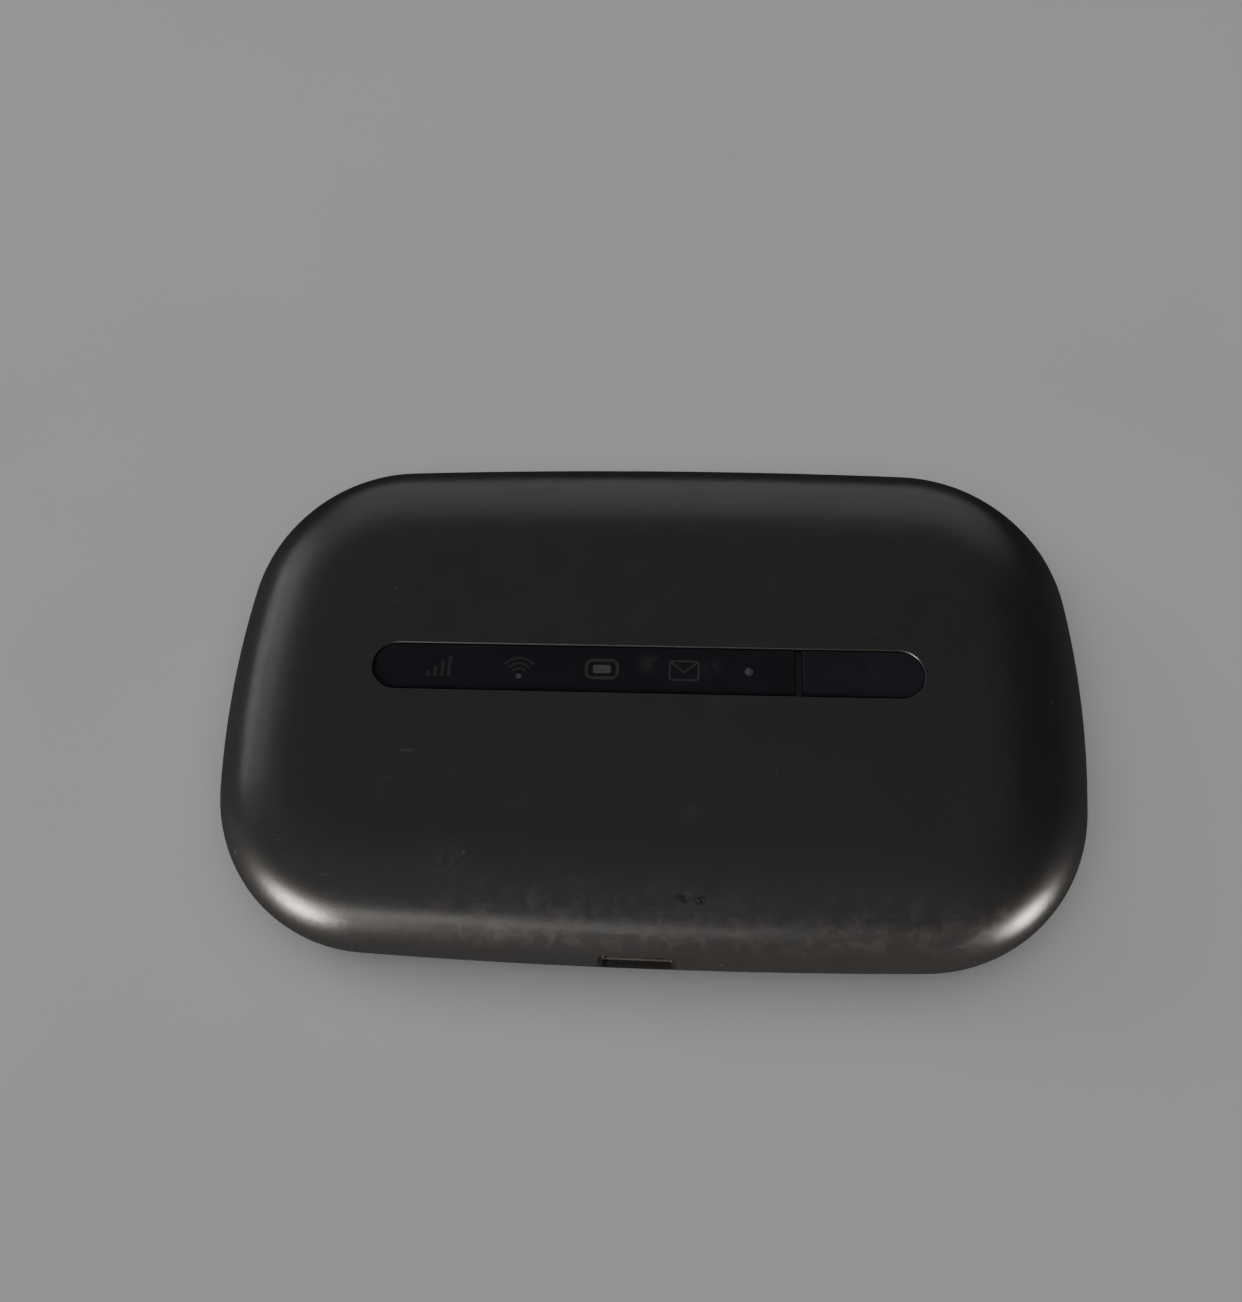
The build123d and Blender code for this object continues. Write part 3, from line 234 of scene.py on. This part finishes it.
def satin_casing():
    """Matt charcoal moulding: spark grain, palm polish, rubbed foot, lint and hairlines."""
    made = Finish("satin_charcoal_plastic", (0.022, 0.0216, 0.021), 0.33, specular_ior_level=0.85)
    made.tint(made.noise(26, 3.0, 0.35, 0.7), (0.026, 0.0245, 0.0235), 0.8)
    made.tint(made.noise(4.5, 4.0, 0.45, 0.75), (0.026, 0.026, 0.027), 0.6)
    made.tint(made.noise(0.16, 2.0, 0.45, 0.65), (0.04, 0.04, 0.04), 0.3)
    made.dull(made.noise(14, 2.0, 0.4, 0.7), 0.29, 0.7)
    made.dull(made.noise(2.2, 3.0, 0.5, 0.72), 0.38, 0.6)
    # the side is polished by the hand and the pocket
    made.dull(made.times(made.axis("Z", 9.8, 7.2), made.axis("Z", 1.0, 4.0)), 0.23, 0.75)
    made.dull(made.noise(0.2, 2.0, 0.4, 0.65), 0.4, 0.3)
    made.scratches(0.5, 24, (0.08, 0.08, 0.08), 0.4, 0.6)
    made.scratches(0.4, -63, (0.08, 0.08, 0.08), 0.35, 0.62)
    made.specks(3.2, 0.16, (0.16, 0.157, 0.15), 0.6)
    # lint and pale rub marks where fingers hold the front
    for centre, reach in (((-12.4, -14.2, 12.8), 2.2), ((8.6, -2.6, 12.8), 1.8), ((-33.5, 8.5, 12.2), 1.7),
                          ((5.6, -14.4, 12.8), 2.6), ((-20, -20, 12.4), 4.0)):
        rub = made.times(made.near(centre, reach, (1, 1.6, 1)), made.noise(1.5, 4.0, 0.42, 0.62, 1.0))
        made.tint(rub, (0.06, 0.059, 0.057), 0.3)
        made.dull(rub, 0.5, 0.5)
    # two small nicks sunk in the near slope, painted near black inside as painted shade
    for centre in ((4.9, -22.9, 11.9), (6.6, -23.0, 11.9)):
        nick_with_painted_shade = made.times(made.ranged(made.near(centre, 0.9, (1, 1.4, 1)), 0.0, 0.6),
                          made.noise(0.6, 2.0, 0.3, 0.5))
        made.tint(nick_with_painted_shade, (0.003, 0.003, 0.003), 0.95)
        made.relief(nick_with_painted_shade, -0.07)
    # scuffs along the near shoulder
    shoulder = made.times(made.axis("Y", -20.5, -23.5), made.axis("Z", 8.5, 10.5))
    edge = made.times(shoulder, made.axis("X", -24, -16))
    scuff = made.times(edge, made.noise(1.6, 5.0, 0.45, 0.7, 0.8))
    made.tint(scuff, (0.05, 0.047, 0.046), 0.5)
    made.dull(scuff, 0.44, 0.7)
    # the underside is rubbed a little paler where it slides on tables
    foot = made.times(made.axis("Z", 0.5, 0.05), made.noise(6, 5.0, 0.35, 0.85))
    made.tint(foot, (0.035, 0.034, 0.033), 0.35)
    # painted shade: the sunk bar between window and button is painted near black, standing in for the shade
    # in the gap
    bar = made.times(made.times(made.axis("X", 16.55, 16.6), made.axis("X", 17.35, 17.3)),
                     made.times(made.axis("Y", -1.6, -1.5), made.axis("Y", 3.9, 3.8)))
    deep = made.times(made.axis("Z", 12.6, 12.55), made.axis("Z", 11.5, 11.6))
    made.tint(made.times(bar, deep), (0.004, 0.004, 0.007))
    made.relief(made.noise(0.22, 3.0), 0.010)
    made.relief(made.noise(0.07, 1.0), 0.003)
    made.wear("front_cover", "battery_cover")


def polished_strip():
    """Blue-black gloss of window and button: finger smears, lint and swirl marks."""
    window = Finish("window_gloss", (0.0205, 0.0202, 0.0265), 0.07, coat_weight=0.25, coat_roughness=0.04)
    button = Finish("button_gloss", (0.0295, 0.0305, 0.0385), 0.12, coat_weight=0.2, coat_roughness=0.06)
    for made in (window, button):
        made.tint(made.noise(5, 2.0, 0.45, 0.7), (0.0245, 0.0245, 0.0315), 0.7)
        made.dull(made.noise(3.5, 3.0, 0.5, 0.72, 0.6), 0.22, 0.7)
        made.scratches(0.22, 12, (0.03, 0.03, 0.035), 0.4, 0.55)
        made.specks(1.6, 0.1, (0.1, 0.1, 0.11), 0.5)
        made.relief(made.noise(0.5, 2.0), 0.0012)
    for centre, reach in (((0.5, 1.9, 12.7), 2.0), ((7.3, 1.5, 12.7), 1.6)):
        print_left = window.near(centre, reach, (1, 1.2, 1))
        smear = window.times(print_left, window.noise(1.3, 3.0, 0.36, 0.56, 0.8))
        window.tint(smear, (0.05, 0.047, 0.05), 0.75)
        window.dull(smear, 0.4, 0.9)
    pressed = button.near((24.5, 1.1, 12.7), 5.0, (1, 2.2, 1))
    handled = button.times(pressed, button.noise(1.6, 3.0, 0.4, 0.6))
    button.tint(handled, (0.034, 0.036, 0.045), 0.8)
    button.dull(handled, 0.3, 0.8)
    window.wear("display_window")
    button.wear("power_button")


def printed_icons():
    """Grey ink; the charge bar, the waves' dot and the lamp are clearer and catch more light."""
    made = Finish("icon_ink", (0.026, 0.026, 0.028), 0.4)
    made.tint(made.axis("X", -10, -9), (0.045, 0.043, 0.043), 0.8)
    for centre, reach in (((-4.7, 1.15, 12.7), 1.35), ((-13.95, 0.1, 12.7), 0.6), ((11.5, 1.15, 12.7), 1.0)):
        made.tint(made.ranged(made.near(centre, reach, (1, 1.9, 1)), 0.0, 0.2), (0.1, 0.1, 0.1), 1.0)
    made.tint(made.noise(0.35, 3.0, 0.45, 0.65), (0.015, 0.015, 0.016), 0.5)
    made.wear("window_icons")


def moulded(name, colour, roughness, grain, pieces, **sockets):
    """Plain moulded plastic with its grain, flow marks and a few scuffs."""
    made = Finish(name, colour, roughness, **sockets)
    pale = [min(1, c * 1.6 + 0.01) for c in colour]
    dark = [c * 0.7 for c in colour]
    made.tint(made.noise(9, 3.0, 0.4, 0.7), pale, 0.45)
    made.tint(made.noise(1.1, 2.0, 0.5, 0.7), dark, 0.4)
    made.dull(made.noise(2.4, 3.0, 0.4, 0.7), min(1, roughness * 1.35), 0.8)
    made.scratches(0.3, 35, pale, 0.5)
    made.relief(made.noise(grain, 3.0), grain * 0.06)
    made.wear(*pieces)


def plated(name, colour, roughness, turn, pieces, streak=0.08):
    """Stamped and plated metal: drawn streaks, tarnish clouds and pits."""
    made = Finish(name, colour, roughness, 1.0)
    dark = [c * 0.55 for c in colour]
    drawn = made.noise(streak, 3.0, coords=made.placed(turn=(0, 0, turn), stretch=(0.04, 1, 1)))
    made.tint(made.ranged(drawn, 0.4, 0.7), dark, 0.35)
    made.tint(made.noise(1.7, 4.0, 0.5, 0.72), dark, 0.5)
    made.dull(made.noise(0.9, 3.0, 0.4, 0.7), min(1, roughness * 1.8), 0.8)
    made.specks(0.9, 0.07, [c * 0.3 for c in colour], 0.6)
    made.relief(drawn, 0.004)
    made.wear(*pieces)


def cell_wrap():
    """Satin silver film round the cell: drawn grain, a lapped seam, a shrunk edge and handling marks."""
    made = Finish("silver_cell_film", (0.46, 0.47, 0.49), 0.33, 0.85)
    grain = made.noise(0.1, 3.0, coords=made.placed(stretch=(0.02, 1, 1)))
    made.tint(made.ranged(grain, 0.35, 0.7), (0.36, 0.37, 0.39), 0.35)
    made.tint(made.noise(9, 3.0, 0.4, 0.7), (0.4, 0.41, 0.43), 0.5)
    made.dull(made.noise(3, 3.0, 0.45, 0.7), 0.45, 0.7)
    made.scratches(0.4, 20, (0.25, 0.25, 0.26), 0.5, 0.58)
    made.relief(grain, 0.002)
    lap = made.times(made.axis("Y", 15.0, 15.08), made.axis("Y", 19.0, 18.92))
    made.tint(lap, (0.40, 0.41, 0.43), 0.5)
    made.relief(lap, 0.04)
    creases = made.noise(0.8, 2.0, coords=made.placed(stretch=(0.3, 1, 1)))
    made.relief(made.times(made.axis("X", 31.2, 32.4), creases), 0.05)
    made.wear("battery_cell")


def soft_sheet(name, colour, roughness, size, depth, pieces, **sockets):
    """Foam, rubber or paper: open pores or fibres over a mottled colour."""
    made = Finish(name, colour, roughness, **sockets)
    dark = [c * 0.6 for c in colour]
    made.tint(made.noise(size * 8, 3.0, 0.4, 0.7), dark, 0.35)
    # painted shade: the pores are painted darker where the relief below sinks them
    made.tint(made.cells(size, 0.5, 0.15), dark, 0.5)
    made.dull(made.noise(size * 4, 2.0, 0.4, 0.7), min(1, roughness * 1.15), 0.8)
    made.relief(made.cells(size), depth)
    made.wear(*pieces)


def solder_mask():
    """Green board: copper pours and tracks showing through the lacquer, with plated holes."""
    made = Finish("board_lacquer", (0.008, 0.05, 0.024), 0.3, coat_weight=0.4, coat_roughness=0.15)
    pours = made.noise(5.5, 0.0, 0.47, 0.49)
    made.tint(pours, (0.016, 0.09, 0.04), 0.9)
    for turn in (0, 90):
        tracks = made.node("ShaderNodeTexWave", wave_type="BANDS")
        tracks.inputs["Scale"].default_value = 1 / (5.2 * mm)
        made.link(made.placed(turn=(0, 0, turn)), tracks.inputs["Vector"])
        lines = made.ranged(tracks.outputs["Fac"], 0.72, 0.86)
        blocks = made.noise(4.0, 0.0, 0.5, 0.53, coords=made.placed(turn=(0, 0, turn), centre=(9, 4, 0)))
        laid = made.times(lines, blocks)
        made.tint(laid, (0.02, 0.12, 0.055), 0.9)
        made.relief(laid, 0.02)
    holes = made.cells(2.1, 0.13, 0.09)
    made.tint(holes, (0.45, 0.34, 0.14), 0.8)
    made.relief(pours, 0.02)
    made.wear("main_board")


satin_casing()
polished_strip()
printed_icons()
moulded("inner_black", (0.02, 0.02, 0.021), 0.55, 0.2,
        ["chassis", "main_antenna_carrier", "second_antenna_carrier", "light_shroud"])
moulded("connector_black", (0.018, 0.018, 0.018), 0.42, 0.12,
        ["battery_connector", "usb_tongue", "sim_base", "power_switch", "reset_switch"])
moulded("end_cap_black", (0.025, 0.025, 0.025), 0.5, 0.18, ["battery_end_cap"])
moulded("reset_grey", (0.35, 0.35, 0.36), 0.45, 0.12, ["reset_button"])
moulded("lamp_resin", (0.85, 0.84, 0.72), 0.25, 0.1, ["indicator_leds"], coat_weight=0.3)
moulded("chip_black", (0.02, 0.02, 0.021), 0.48, 0.1,
        ["processor", "memory_chip", "radio_chip", "power_chip", "wifi_chip", "power_amplifiers",
         "power_inductors"])
moulded("capacitor_ceramic", (0.42, 0.33, 0.22), 0.35, 0.1, ["board_capacitors"])
moulded("frosted_film", (0.72, 0.72, 0.7), 0.5, 0.1, ["light_film"])
plated("socket_nickel", (0.13, 0.122, 0.115), 0.46, 0, ["usb_shell"])
plated("drawn_steel", (0.6, 0.6, 0.61), 0.28, 0,
       ["sim_shell", "clock_crystal", "power_switch_stem", "reset_switch_stem"])
plated("tinned_can", (0.64, 0.64, 0.62), 0.34, 90, ["processor_can", "radio_can", "power_can"], 0.12)
plated("gold_plate", (0.83, 0.62, 0.28), 0.24, 90,
       ["battery_contacts", "usb_contacts", "sim_contacts", "battery_terminals", "antenna_clips"])
plated("copper_foil", (0.74, 0.44, 0.27), 0.32, 0, ["main_antenna", "second_antenna", "wifi_antenna"])
plated("black_screw", (0.06, 0.06, 0.062), 0.38, 45, ["chassis_screws"])
cell_wrap()
soft_sheet("foam_sheet", (0.03, 0.03, 0.03), 0.9, 0.3, 0.06, ["cover_pad"], sheen_weight=0.3)
soft_sheet("thermal_sheet", (0.42, 0.44, 0.47), 0.7, 0.2, 0.02, ["thermal_pad"])
soft_sheet("tape_adhesive", (0.04, 0.04, 0.04), 0.6, 0.15, 0.01, ["window_adhesive"])
soft_sheet("battery_wrap", (0.075, 0.077, 0.085), 0.38, 0.25, 0.006, ["battery_label"])
soft_sheet("white_label", (0.74, 0.74, 0.72), 0.55, 0.18, 0.008, ["bay_label", "moisture_mark"])
solder_mask()


# ---------------------------------------------------------------- pieces modelled here
def alone(piece):
    """Selects one piece and nothing else."""
    bpy.ops.object.select_all(action="DESELECT")
    piece.select_set(True)
    bpy.context.view_layer.objects.active = piece


def begin(kind, name, size, place, **settings):
    """Adds a primitive at its size and place in millimetres, ready to be shaped."""
    bpy.ops.object.select_all(action="DESELECT")
    across = {"radius": 0.5, "depth": 1} if kind == "cylinder" else {"size": 1}
    add = getattr(bpy.ops.mesh, f"primitive_{kind}_add")
    add(location=Vector(place) * mm, **across, **settings)
    piece = bpy.context.object
    piece.name = name
    piece.scale = Vector(size) * mm
    bpy.ops.object.transform_apply(location=True, rotation=True, scale=True)
    return piece


def pick(piece, kind, rule):
    """Selects the faces or edges whose middle and direction meet a rule. A face's direction is its normal."""
    if bpy.context.mode == "OBJECT":
        alone(piece)
        bpy.ops.object.mode_set(mode="EDIT")
    bpy.ops.mesh.select_mode(type=kind)
    bpy.ops.mesh.select_all(action="DESELECT")
    shape = bmesh.from_edit_mesh(piece.data)
    for part in (shape.faces if kind == "FACE" else shape.edges):
        ends = [v.co / mm for v in part.verts]
        middle = sum(ends, Vector()) / len(ends)
        way = part.normal if kind == "FACE" else (ends[1] - ends[0]).normalized()
        part.select_set(bool(rule(middle, way)))
    bmesh.update_edit_mesh(piece.data)


def draw_out(step, widen=(1, 1, 1), centre=(0, 0, 0)):
    """Extrudes what is selected by a step, then widens its new end about a centre."""
    bpy.ops.mesh.extrude_region_move(TRANSFORM_OT_translate={"value": Vector(step) * mm})
    bpy.ops.transform.resize(value=widen, center_override=Vector(centre) * mm)


def round_off(radius, steps):
    """Bevels the selected edges."""
    bpy.ops.mesh.bevel(offset=radius * mm, segments=steps, affect="EDGES")


def leave(face_outwards=False):
    """Ends the shaping of a piece."""
    if face_outwards:
        bpy.ops.mesh.select_all(action="SELECT")
        bpy.ops.mesh.normals_make_consistent(inside=False)
    bpy.ops.object.mode_set(mode="OBJECT")


def modify(piece, kind, **settings):
    """Adds a modifier and applies it."""
    alone(piece)
    modifier = piece.modifiers.new(kind.lower(), kind)
    for key, value in settings.items():
        setattr(modifier, key, value)
    bpy.ops.object.modifier_apply(modifier=modifier.name)


def soften(piece, radius, angle):
    """Rounds every edge that is sharper than an angle."""
    modify(piece, "BEVEL", width=radius * mm, segments=2, limit_method="ANGLE",
           angle_limit=math.radians(angle))


def cut(piece, tool):
    """Takes a tool's shape out of a piece. The tool is used up."""
    modify(piece, "BOOLEAN", operation="DIFFERENCE", solver="EXACT", object=tool)
    bpy.data.objects.remove(tool)


def copied(piece, step, turn=0, centre=(0, 0, 0)):
    """A copy with a mesh of its own, moved by a step and turned about Z at a centre."""
    alone(piece)
    bpy.ops.object.duplicate()
    bpy.ops.transform.translate(value=Vector(step) * mm)
    bpy.ops.transform.rotate(value=math.radians(turn), orient_axis="Z",
                             center_override=Vector(centre) * mm)
    bpy.ops.object.transform_apply(location=True, rotation=True, scale=True)
    return bpy.context.object


def together(parts):
    """Joins parts into the first of them."""
    alone(parts[0])
    for part in parts:
        part.select_set(True)
    bpy.ops.object.join()
    return parts[0]


def corners(node):
    """A node's lowest and highest corners, its size and its middle, in millimetres."""
    low, high = (Vector(corner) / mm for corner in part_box(node))
    return low, high, high - low, (low + high) / 2


def settle(piece, node, body):
    """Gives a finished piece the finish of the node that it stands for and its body."""
    alone(piece)
    bpy.ops.object.shade_smooth_by_angle(angle=math.radians(32))
    piece.data.materials.clear()
    piece.data.materials.append(nodes[node].data.materials[0])
    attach(piece, body)
    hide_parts(node)
    return piece


def socket_shell():
    """Charging socket's shell of folded steel: sloped upper corners, rolled edges and a lipped mouth."""
    low, high, size, middle = corners("usb_shell")
    lip, slope, roll, sheet, edge = 0.15, 0.75, 0.2, 0.22, 0.03
    lip_room = 0.12   # the lip's sloped sheet reaches this much further
    back_of_lip = low.y + lip + lip_room
    shell = begin("cube", "charging_socket_shell", (size.x, high.y - back_of_lip, size.z),
                  (middle.x, (back_of_lip + high.y) / 2, middle.z))
    pick(shell, "FACE", lambda at, way: abs(way.y) > 0.9)
    bpy.ops.mesh.delete(type="ONLY_FACE")
    pick(shell, "EDGE", lambda at, way: abs(way.y) > 0.9 and at.z > middle.z)
    round_off(slope, 1)
    pick(shell, "EDGE", lambda at, way: abs(way.y) > 0.9)
    round_off(roll, 4)
    pick(shell, "EDGE", lambda at, way: abs(at.y - back_of_lip) < 0.01 and abs(way.y) < 0.1)
    # the lip flares in two steps
    for share, widen in ((0.65, (1.015, 1, 1.045)), (0.35, (1.006, 1, 1.018))):
        draw_out((0, -share * lip, 0), widen, middle)
    leave(face_outwards=True)
    modify(shell, "SOLIDIFY", thickness=sheet * mm, offset=1)   # an open tube's faces look inwards
    soften(shell, edge, 50)
    return settle(shell, "usb_shell", "casing")


def sim_cover():
    """SIM socket's pressed cover: folded flanges, a window over the contacts, finger notches and ribs."""
    low, high, size, middle = corners("sim_shell")
    sheet, fold, edge = 0.1, 0.35, 0.04
    window_length, window_width, window_corner, notch_width, tool_height = 12, 11, 0.8, 2.4, 2
    rib_height, rib_width, rib_length, rib_room, rib_edge = 0.1, 1.2, 11, 4.1, 0.08
    plate = low.z + rib_height
    cover = begin("cube", "sim_socket_cover", (size.x, size.y, high.z - plate),
                  (middle.x, middle.y, (plate + high.z) / 2))
    pick(cover, "FACE", lambda at, way: way.z > 0.9 or abs(way.x) > 0.9)
    bpy.ops.mesh.delete(type="ONLY_FACE")
    pick(cover, "EDGE", lambda at, way: abs(way.x) > 0.9 and at.z < middle.z)
    round_off(fold, 4)
    leave(face_outwards=True)
    modify(cover, "SOLIDIFY", thickness=sheet * mm, offset=-1)
    window = begin("cube", "window_tool", (window_length, window_width, tool_height),
                   (middle.x, middle.y, plate))
    pick(window, "EDGE", lambda at, way: abs(way.z) > 0.9)
    round_off(window_corner, 5)
    leave()
    cut(cover, window)
    notch = begin("cylinder", "notch_tool", (notch_width, notch_width, tool_height),
                  (low.x, middle.y, plate), vertices=32)
    far_notch = copied(notch, (size.x, 0, 0))
    cut(cover, notch)
    cut(cover, far_notch)
    soften(cover, edge, 40)
    rib = begin("cube", "rib", (rib_width, rib_length, 2 * rib_height),
                (low.x + rib_room, middle.y, plate))
    pick(rib, "EDGE", lambda at, way: abs(way.z) > 0.9)
    round_off(0.49 * rib_width, 6)
    leave()
    soften(rib, rib_edge, 40)
    far_rib = copied(rib, (size.x - 2 * rib_room, 0, 0))
    return settle(together([cover, rib, far_rib]), "sim_shell", "casing")


def contact_springs():
    """Four bowed leaf springs that reach towards the battery's terminals, one modelled and three copied."""
    low, _, size, middle = corners("battery_contacts")
    sheet, width, root, edge, bends, gaps = 0.16, 1.0, 0.06, 0.03, 12, 3
    waist_share = 0.78   # the waist's width against the leaf's
    rise = size.z / 2 - sheet / 2
    bow = size.x - root - sheet / 2
    y = low.y + width / 2
    leaf = begin("plane", "contact_springs", (root, width, 1), (low.x + root / 2, y, middle.z + rise))
    pick(leaf, "EDGE", lambda at, way: abs(at.x - low.x - root) < 0.001)
    last = Vector((root, 0, rise))
    for bend in range(1, bends + 1):
        turned = math.pi * bend / bends
        reached = Vector((root + bow * math.sin(turned), 0, rise * math.cos(turned)))
        draw_out(reached - last)
        last = reached
    draw_out((-root, 0, 0))
    waist = rise / 2
    pick(leaf, "EDGE", lambda at, way: abs(way.y) > 0.9 and abs(at.z - middle.z) < waist)
    bpy.ops.transform.resize(value=(1, waist_share, 1), center_override=Vector((low.x, y, middle.z)) * mm)
    leave(face_outwards=True)
    modify(leaf, "SOLIDIFY", thickness=sheet * mm, offset=0)
    soften(leaf, edge, 50)
    pitch = (size.y - width) / gaps
    leaves = [leaf] + [copied(leaf, (0, pitch * place, 0)) for place in range(1, gaps + 1)]
    return settle(together(leaves), "battery_contacts", "casing")


def foam_spacer():
    """Foam pad in the battery cover: round corners and a rim that its die has pinched."""
    _, high, size, middle = corners("cover_pad")
    corner, pinch, edge = 1.5, 0.11, 0.03
    pad = begin("cube", "foam_spacer", size, middle)
    pick(pad, "EDGE", lambda at, way: abs(way.z) > 0.9)
    round_off(corner, 8)
    pick(pad, "FACE", lambda at, way: way.z > 0.9)
    for step in (0.18, 0.35, 0.6):
        bpy.ops.mesh.inset(thickness=step * mm)

    def on_rim(at):
        past = [max(abs(at[i] - middle[i]) - size[i] / 2 + corner, 0) for i in (0, 1)]
        return math.hypot(*past) > corner - 0.05 and at.z > high.z - 0.01

    pick(pad, "EDGE", lambda at, way: on_rim(at))
    bpy.ops.transform.translate(value=(0, 0, -pinch * mm))
    leave()
    soften(pad, edge, 25)
    return settle(pad, "cover_pad", "back_cover")


def chassis_screw_set():
    """Four pan-head screws: domed rim, cross recess and ridged thread, one modelled and three copied."""
    low, _, size, _ = corners("chassis_screws")
    head_width, head_height, core, crest, edge = 2.6, 0.8, 1.1, 1.34, 0.03
    neck, slope, flat, ridges, point = 0.3, 0.12, 0.08, 10, 0.7
    wing_length, wing_width, wing_height, wing_taper = 1.7, 0.35, 0.9, 0.45
    start = Vector((low.x + head_width / 2, low.y + head_width / 2, low.z))
    screw = begin("cylinder", "chassis_screw_set", (head_width, head_width, head_height),
                  start + Vector((0, 0, head_height / 2)), vertices=32)
    pick(screw, "EDGE", lambda at, way: at.z < low.z + 0.01)
    round_off(head_height / 3, 4)
    pick(screw, "FACE", lambda at, way: way.z > 0.9)
    bpy.ops.mesh.inset(thickness=(head_width - core) / 2 * mm)
    draw_out((0, 0, neck))
    for _ in range(ridges):
        draw_out((0, 0, slope), (crest / core, crest / core, 1), start)
        draw_out((0, 0, flat))
        draw_out((0, 0, slope), (core / crest, core / crest, 1), start)
        draw_out((0, 0, flat))
    tip = size.z - head_height - neck - ridges * 2 * (slope + flat)
    draw_out((0, 0, tip), (point, point, 1), start)
    leave()
    wing = begin("cube", "recess_tool", (wing_length, wing_width, wing_height), start)
    pick(wing, "FACE", lambda at, way: way.z > 0.9)
    bpy.ops.transform.resize(value=(wing_taper, wing_taper, 1), center_override=start * mm)
    leave()
    crossing_wing = copied(wing, (0, 0, 0), 90, start)
    cut(screw, wing)
    cut(screw, crossing_wing)
    soften(screw, edge, 60)
    across, along = size.x - head_width, size.y - head_width
    screws = [screw] + [copied(screw, step) for step in ((across, 0, 0), (0, along, 0), (across, along, 0))]
    return settle(together(screws), "chassis_screws", "casing")


modelled_here = [socket_shell(), sim_cover(), contact_springs(), foam_spacer(), chassis_screw_set()]


# ---------------------------------------------------------------- floor and light
def pale_floor():
    """A plain off-white sheet under the hotspot. It goes with the battery cover, which lies on it when
    the rest is lifted off, and it is clear from below, so the underside can be seen."""
    width, gap = 2800, 0.01
    bpy.ops.object.select_all(action="DESELECT")
    bpy.ops.mesh.primitive_plane_add(size=width * mm, location=(0, 0, -gap * mm))
    floor = bpy.context.object
    floor.name = "floor"
    made = Finish("pale_floor", (0.62, 0.62, 0.61), 0.7)
    made.tint(made.noise(60, 3.0, 0.4, 0.7), (0.58, 0.58, 0.575), 0.5)
    made.relief(made.noise(0.8, 2.0), 0.01)
    clear = made.node("ShaderNodeBsdfTransparent")
    side = made.node("ShaderNodeMixShader")
    made.link(made.node("ShaderNodeNewGeometry").outputs["Backfacing"], side.inputs[0])
    made.link(made.shader.outputs[0], side.inputs[1])
    made.link(clear.outputs[0], side.inputs[2])
    made.link(side.outputs[0], made.tree.nodes["Material Output"].inputs["Surface"])
    floor.data.materials.append(made.material)
    # it neither shades the hotspot nor is mirrored in it
    floor.visible_shadow = False
    floor.visible_glossy = False
    bpy.ops.object.transform_apply(location=True)
    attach(floor, "back_cover")
    return floor


def lamp(name, azimuth, elevation, distance, size, power, colour, spare=()):
    """A soft rectangular light aimed at the hotspot. Azimuth 0 is over the near long side and
    90 over the power button's end; distance and size are millimetres. It doesn't fall on spare."""
    bpy.ops.object.light_add(type="AREA")
    light = bpy.context.object
    light.name = name
    light.data.shape = "RECTANGLE"
    light.data.size, light.data.size_y = [s * mm for s in size]
    light.data.energy = power
    light.data.color = colour
    a, e = math.radians(azimuth), math.radians(elevation)
    way = Vector((math.sin(a) * math.cos(e), -math.cos(a) * math.cos(e), math.sin(e)))
    aim = way.to_track_quat("Z", "Y").to_matrix().to_4x4()
    light.matrix_world = Matrix.Translation((way * distance + Vector((0, 0, lamp_aim))) * mm) @ aim
    if spare:
        flagged = bpy.data.collections.new(name + "_flag")
        for piece in spare:
            flagged.objects.link(piece)
        for entry in flagged.collection_objects:
            entry.light_linking.link_state = "EXCLUDE"
        light.light_linking.receiver_collection = flagged


floor = pale_floor()
hotspot = [*nodes.values(), *modelled_here]
lamp_aim = 6
white = (1, 1, 1)
lamp("left_window", -43, 9, 900, (260, 160), 10.5, (1.0, 0.945, 0.89), [floor])
lamp("right_window", 54, -6, 900, (170, 160), 6.6, (1.0, 0.93, 0.88), [floor])
lamp("far_softbox", 180, 27, 1000, (1300, 800), 2.35, (0.93, 0.96, 1.0), [floor])
lamp("near_softbox", -18, 32, 1000, (620, 140), 0.8, (1.0, 0.98, 0.95), [floor])
lamp("left_softbox", -115, 30, 1000, (500, 260), 1.0, (0.93, 0.96, 1.0))
lamp("front_fill", 0, 85, 1500, (1500, 1500), 1.15, (1.0, 0.98, 0.95),
     [floor, nodes["display_window"], nodes["power_button"]])
lamp("ceiling", 0, 90, 1500, (2600, 2600), 19.0, white, hotspot)
lamp("under_softbox", 165, -86, 900, (700, 700), 1.0, white, [floor, nodes["front_cover"]])
lamp("under_window", -150, -60, 900, (400, 300), 0.5, white, [floor, nodes["front_cover"]])

# a dim room round the hotspot that looks brighter to the camera
world = bpy.data.worlds.new("soft_room")
world.use_nodes = True
room = world.node_tree
backdrop = room.nodes["Background"]
backdrop.inputs["Color"].default_value = (0.92, 0.94, 1.0, 1)
seen = room.nodes.new("ShaderNodeLightPath")
strength = room.nodes.new("ShaderNodeMapRange")
strength.inputs["To Min"].default_value = 0.03
strength.inputs["To Max"].default_value = 0.32
room.links.new(seen.outputs["Is Camera Ray"], strength.inputs["Value"])
room.links.new(strength.outputs["Result"], backdrop.inputs["Strength"])
bpy.context.scene.world = world
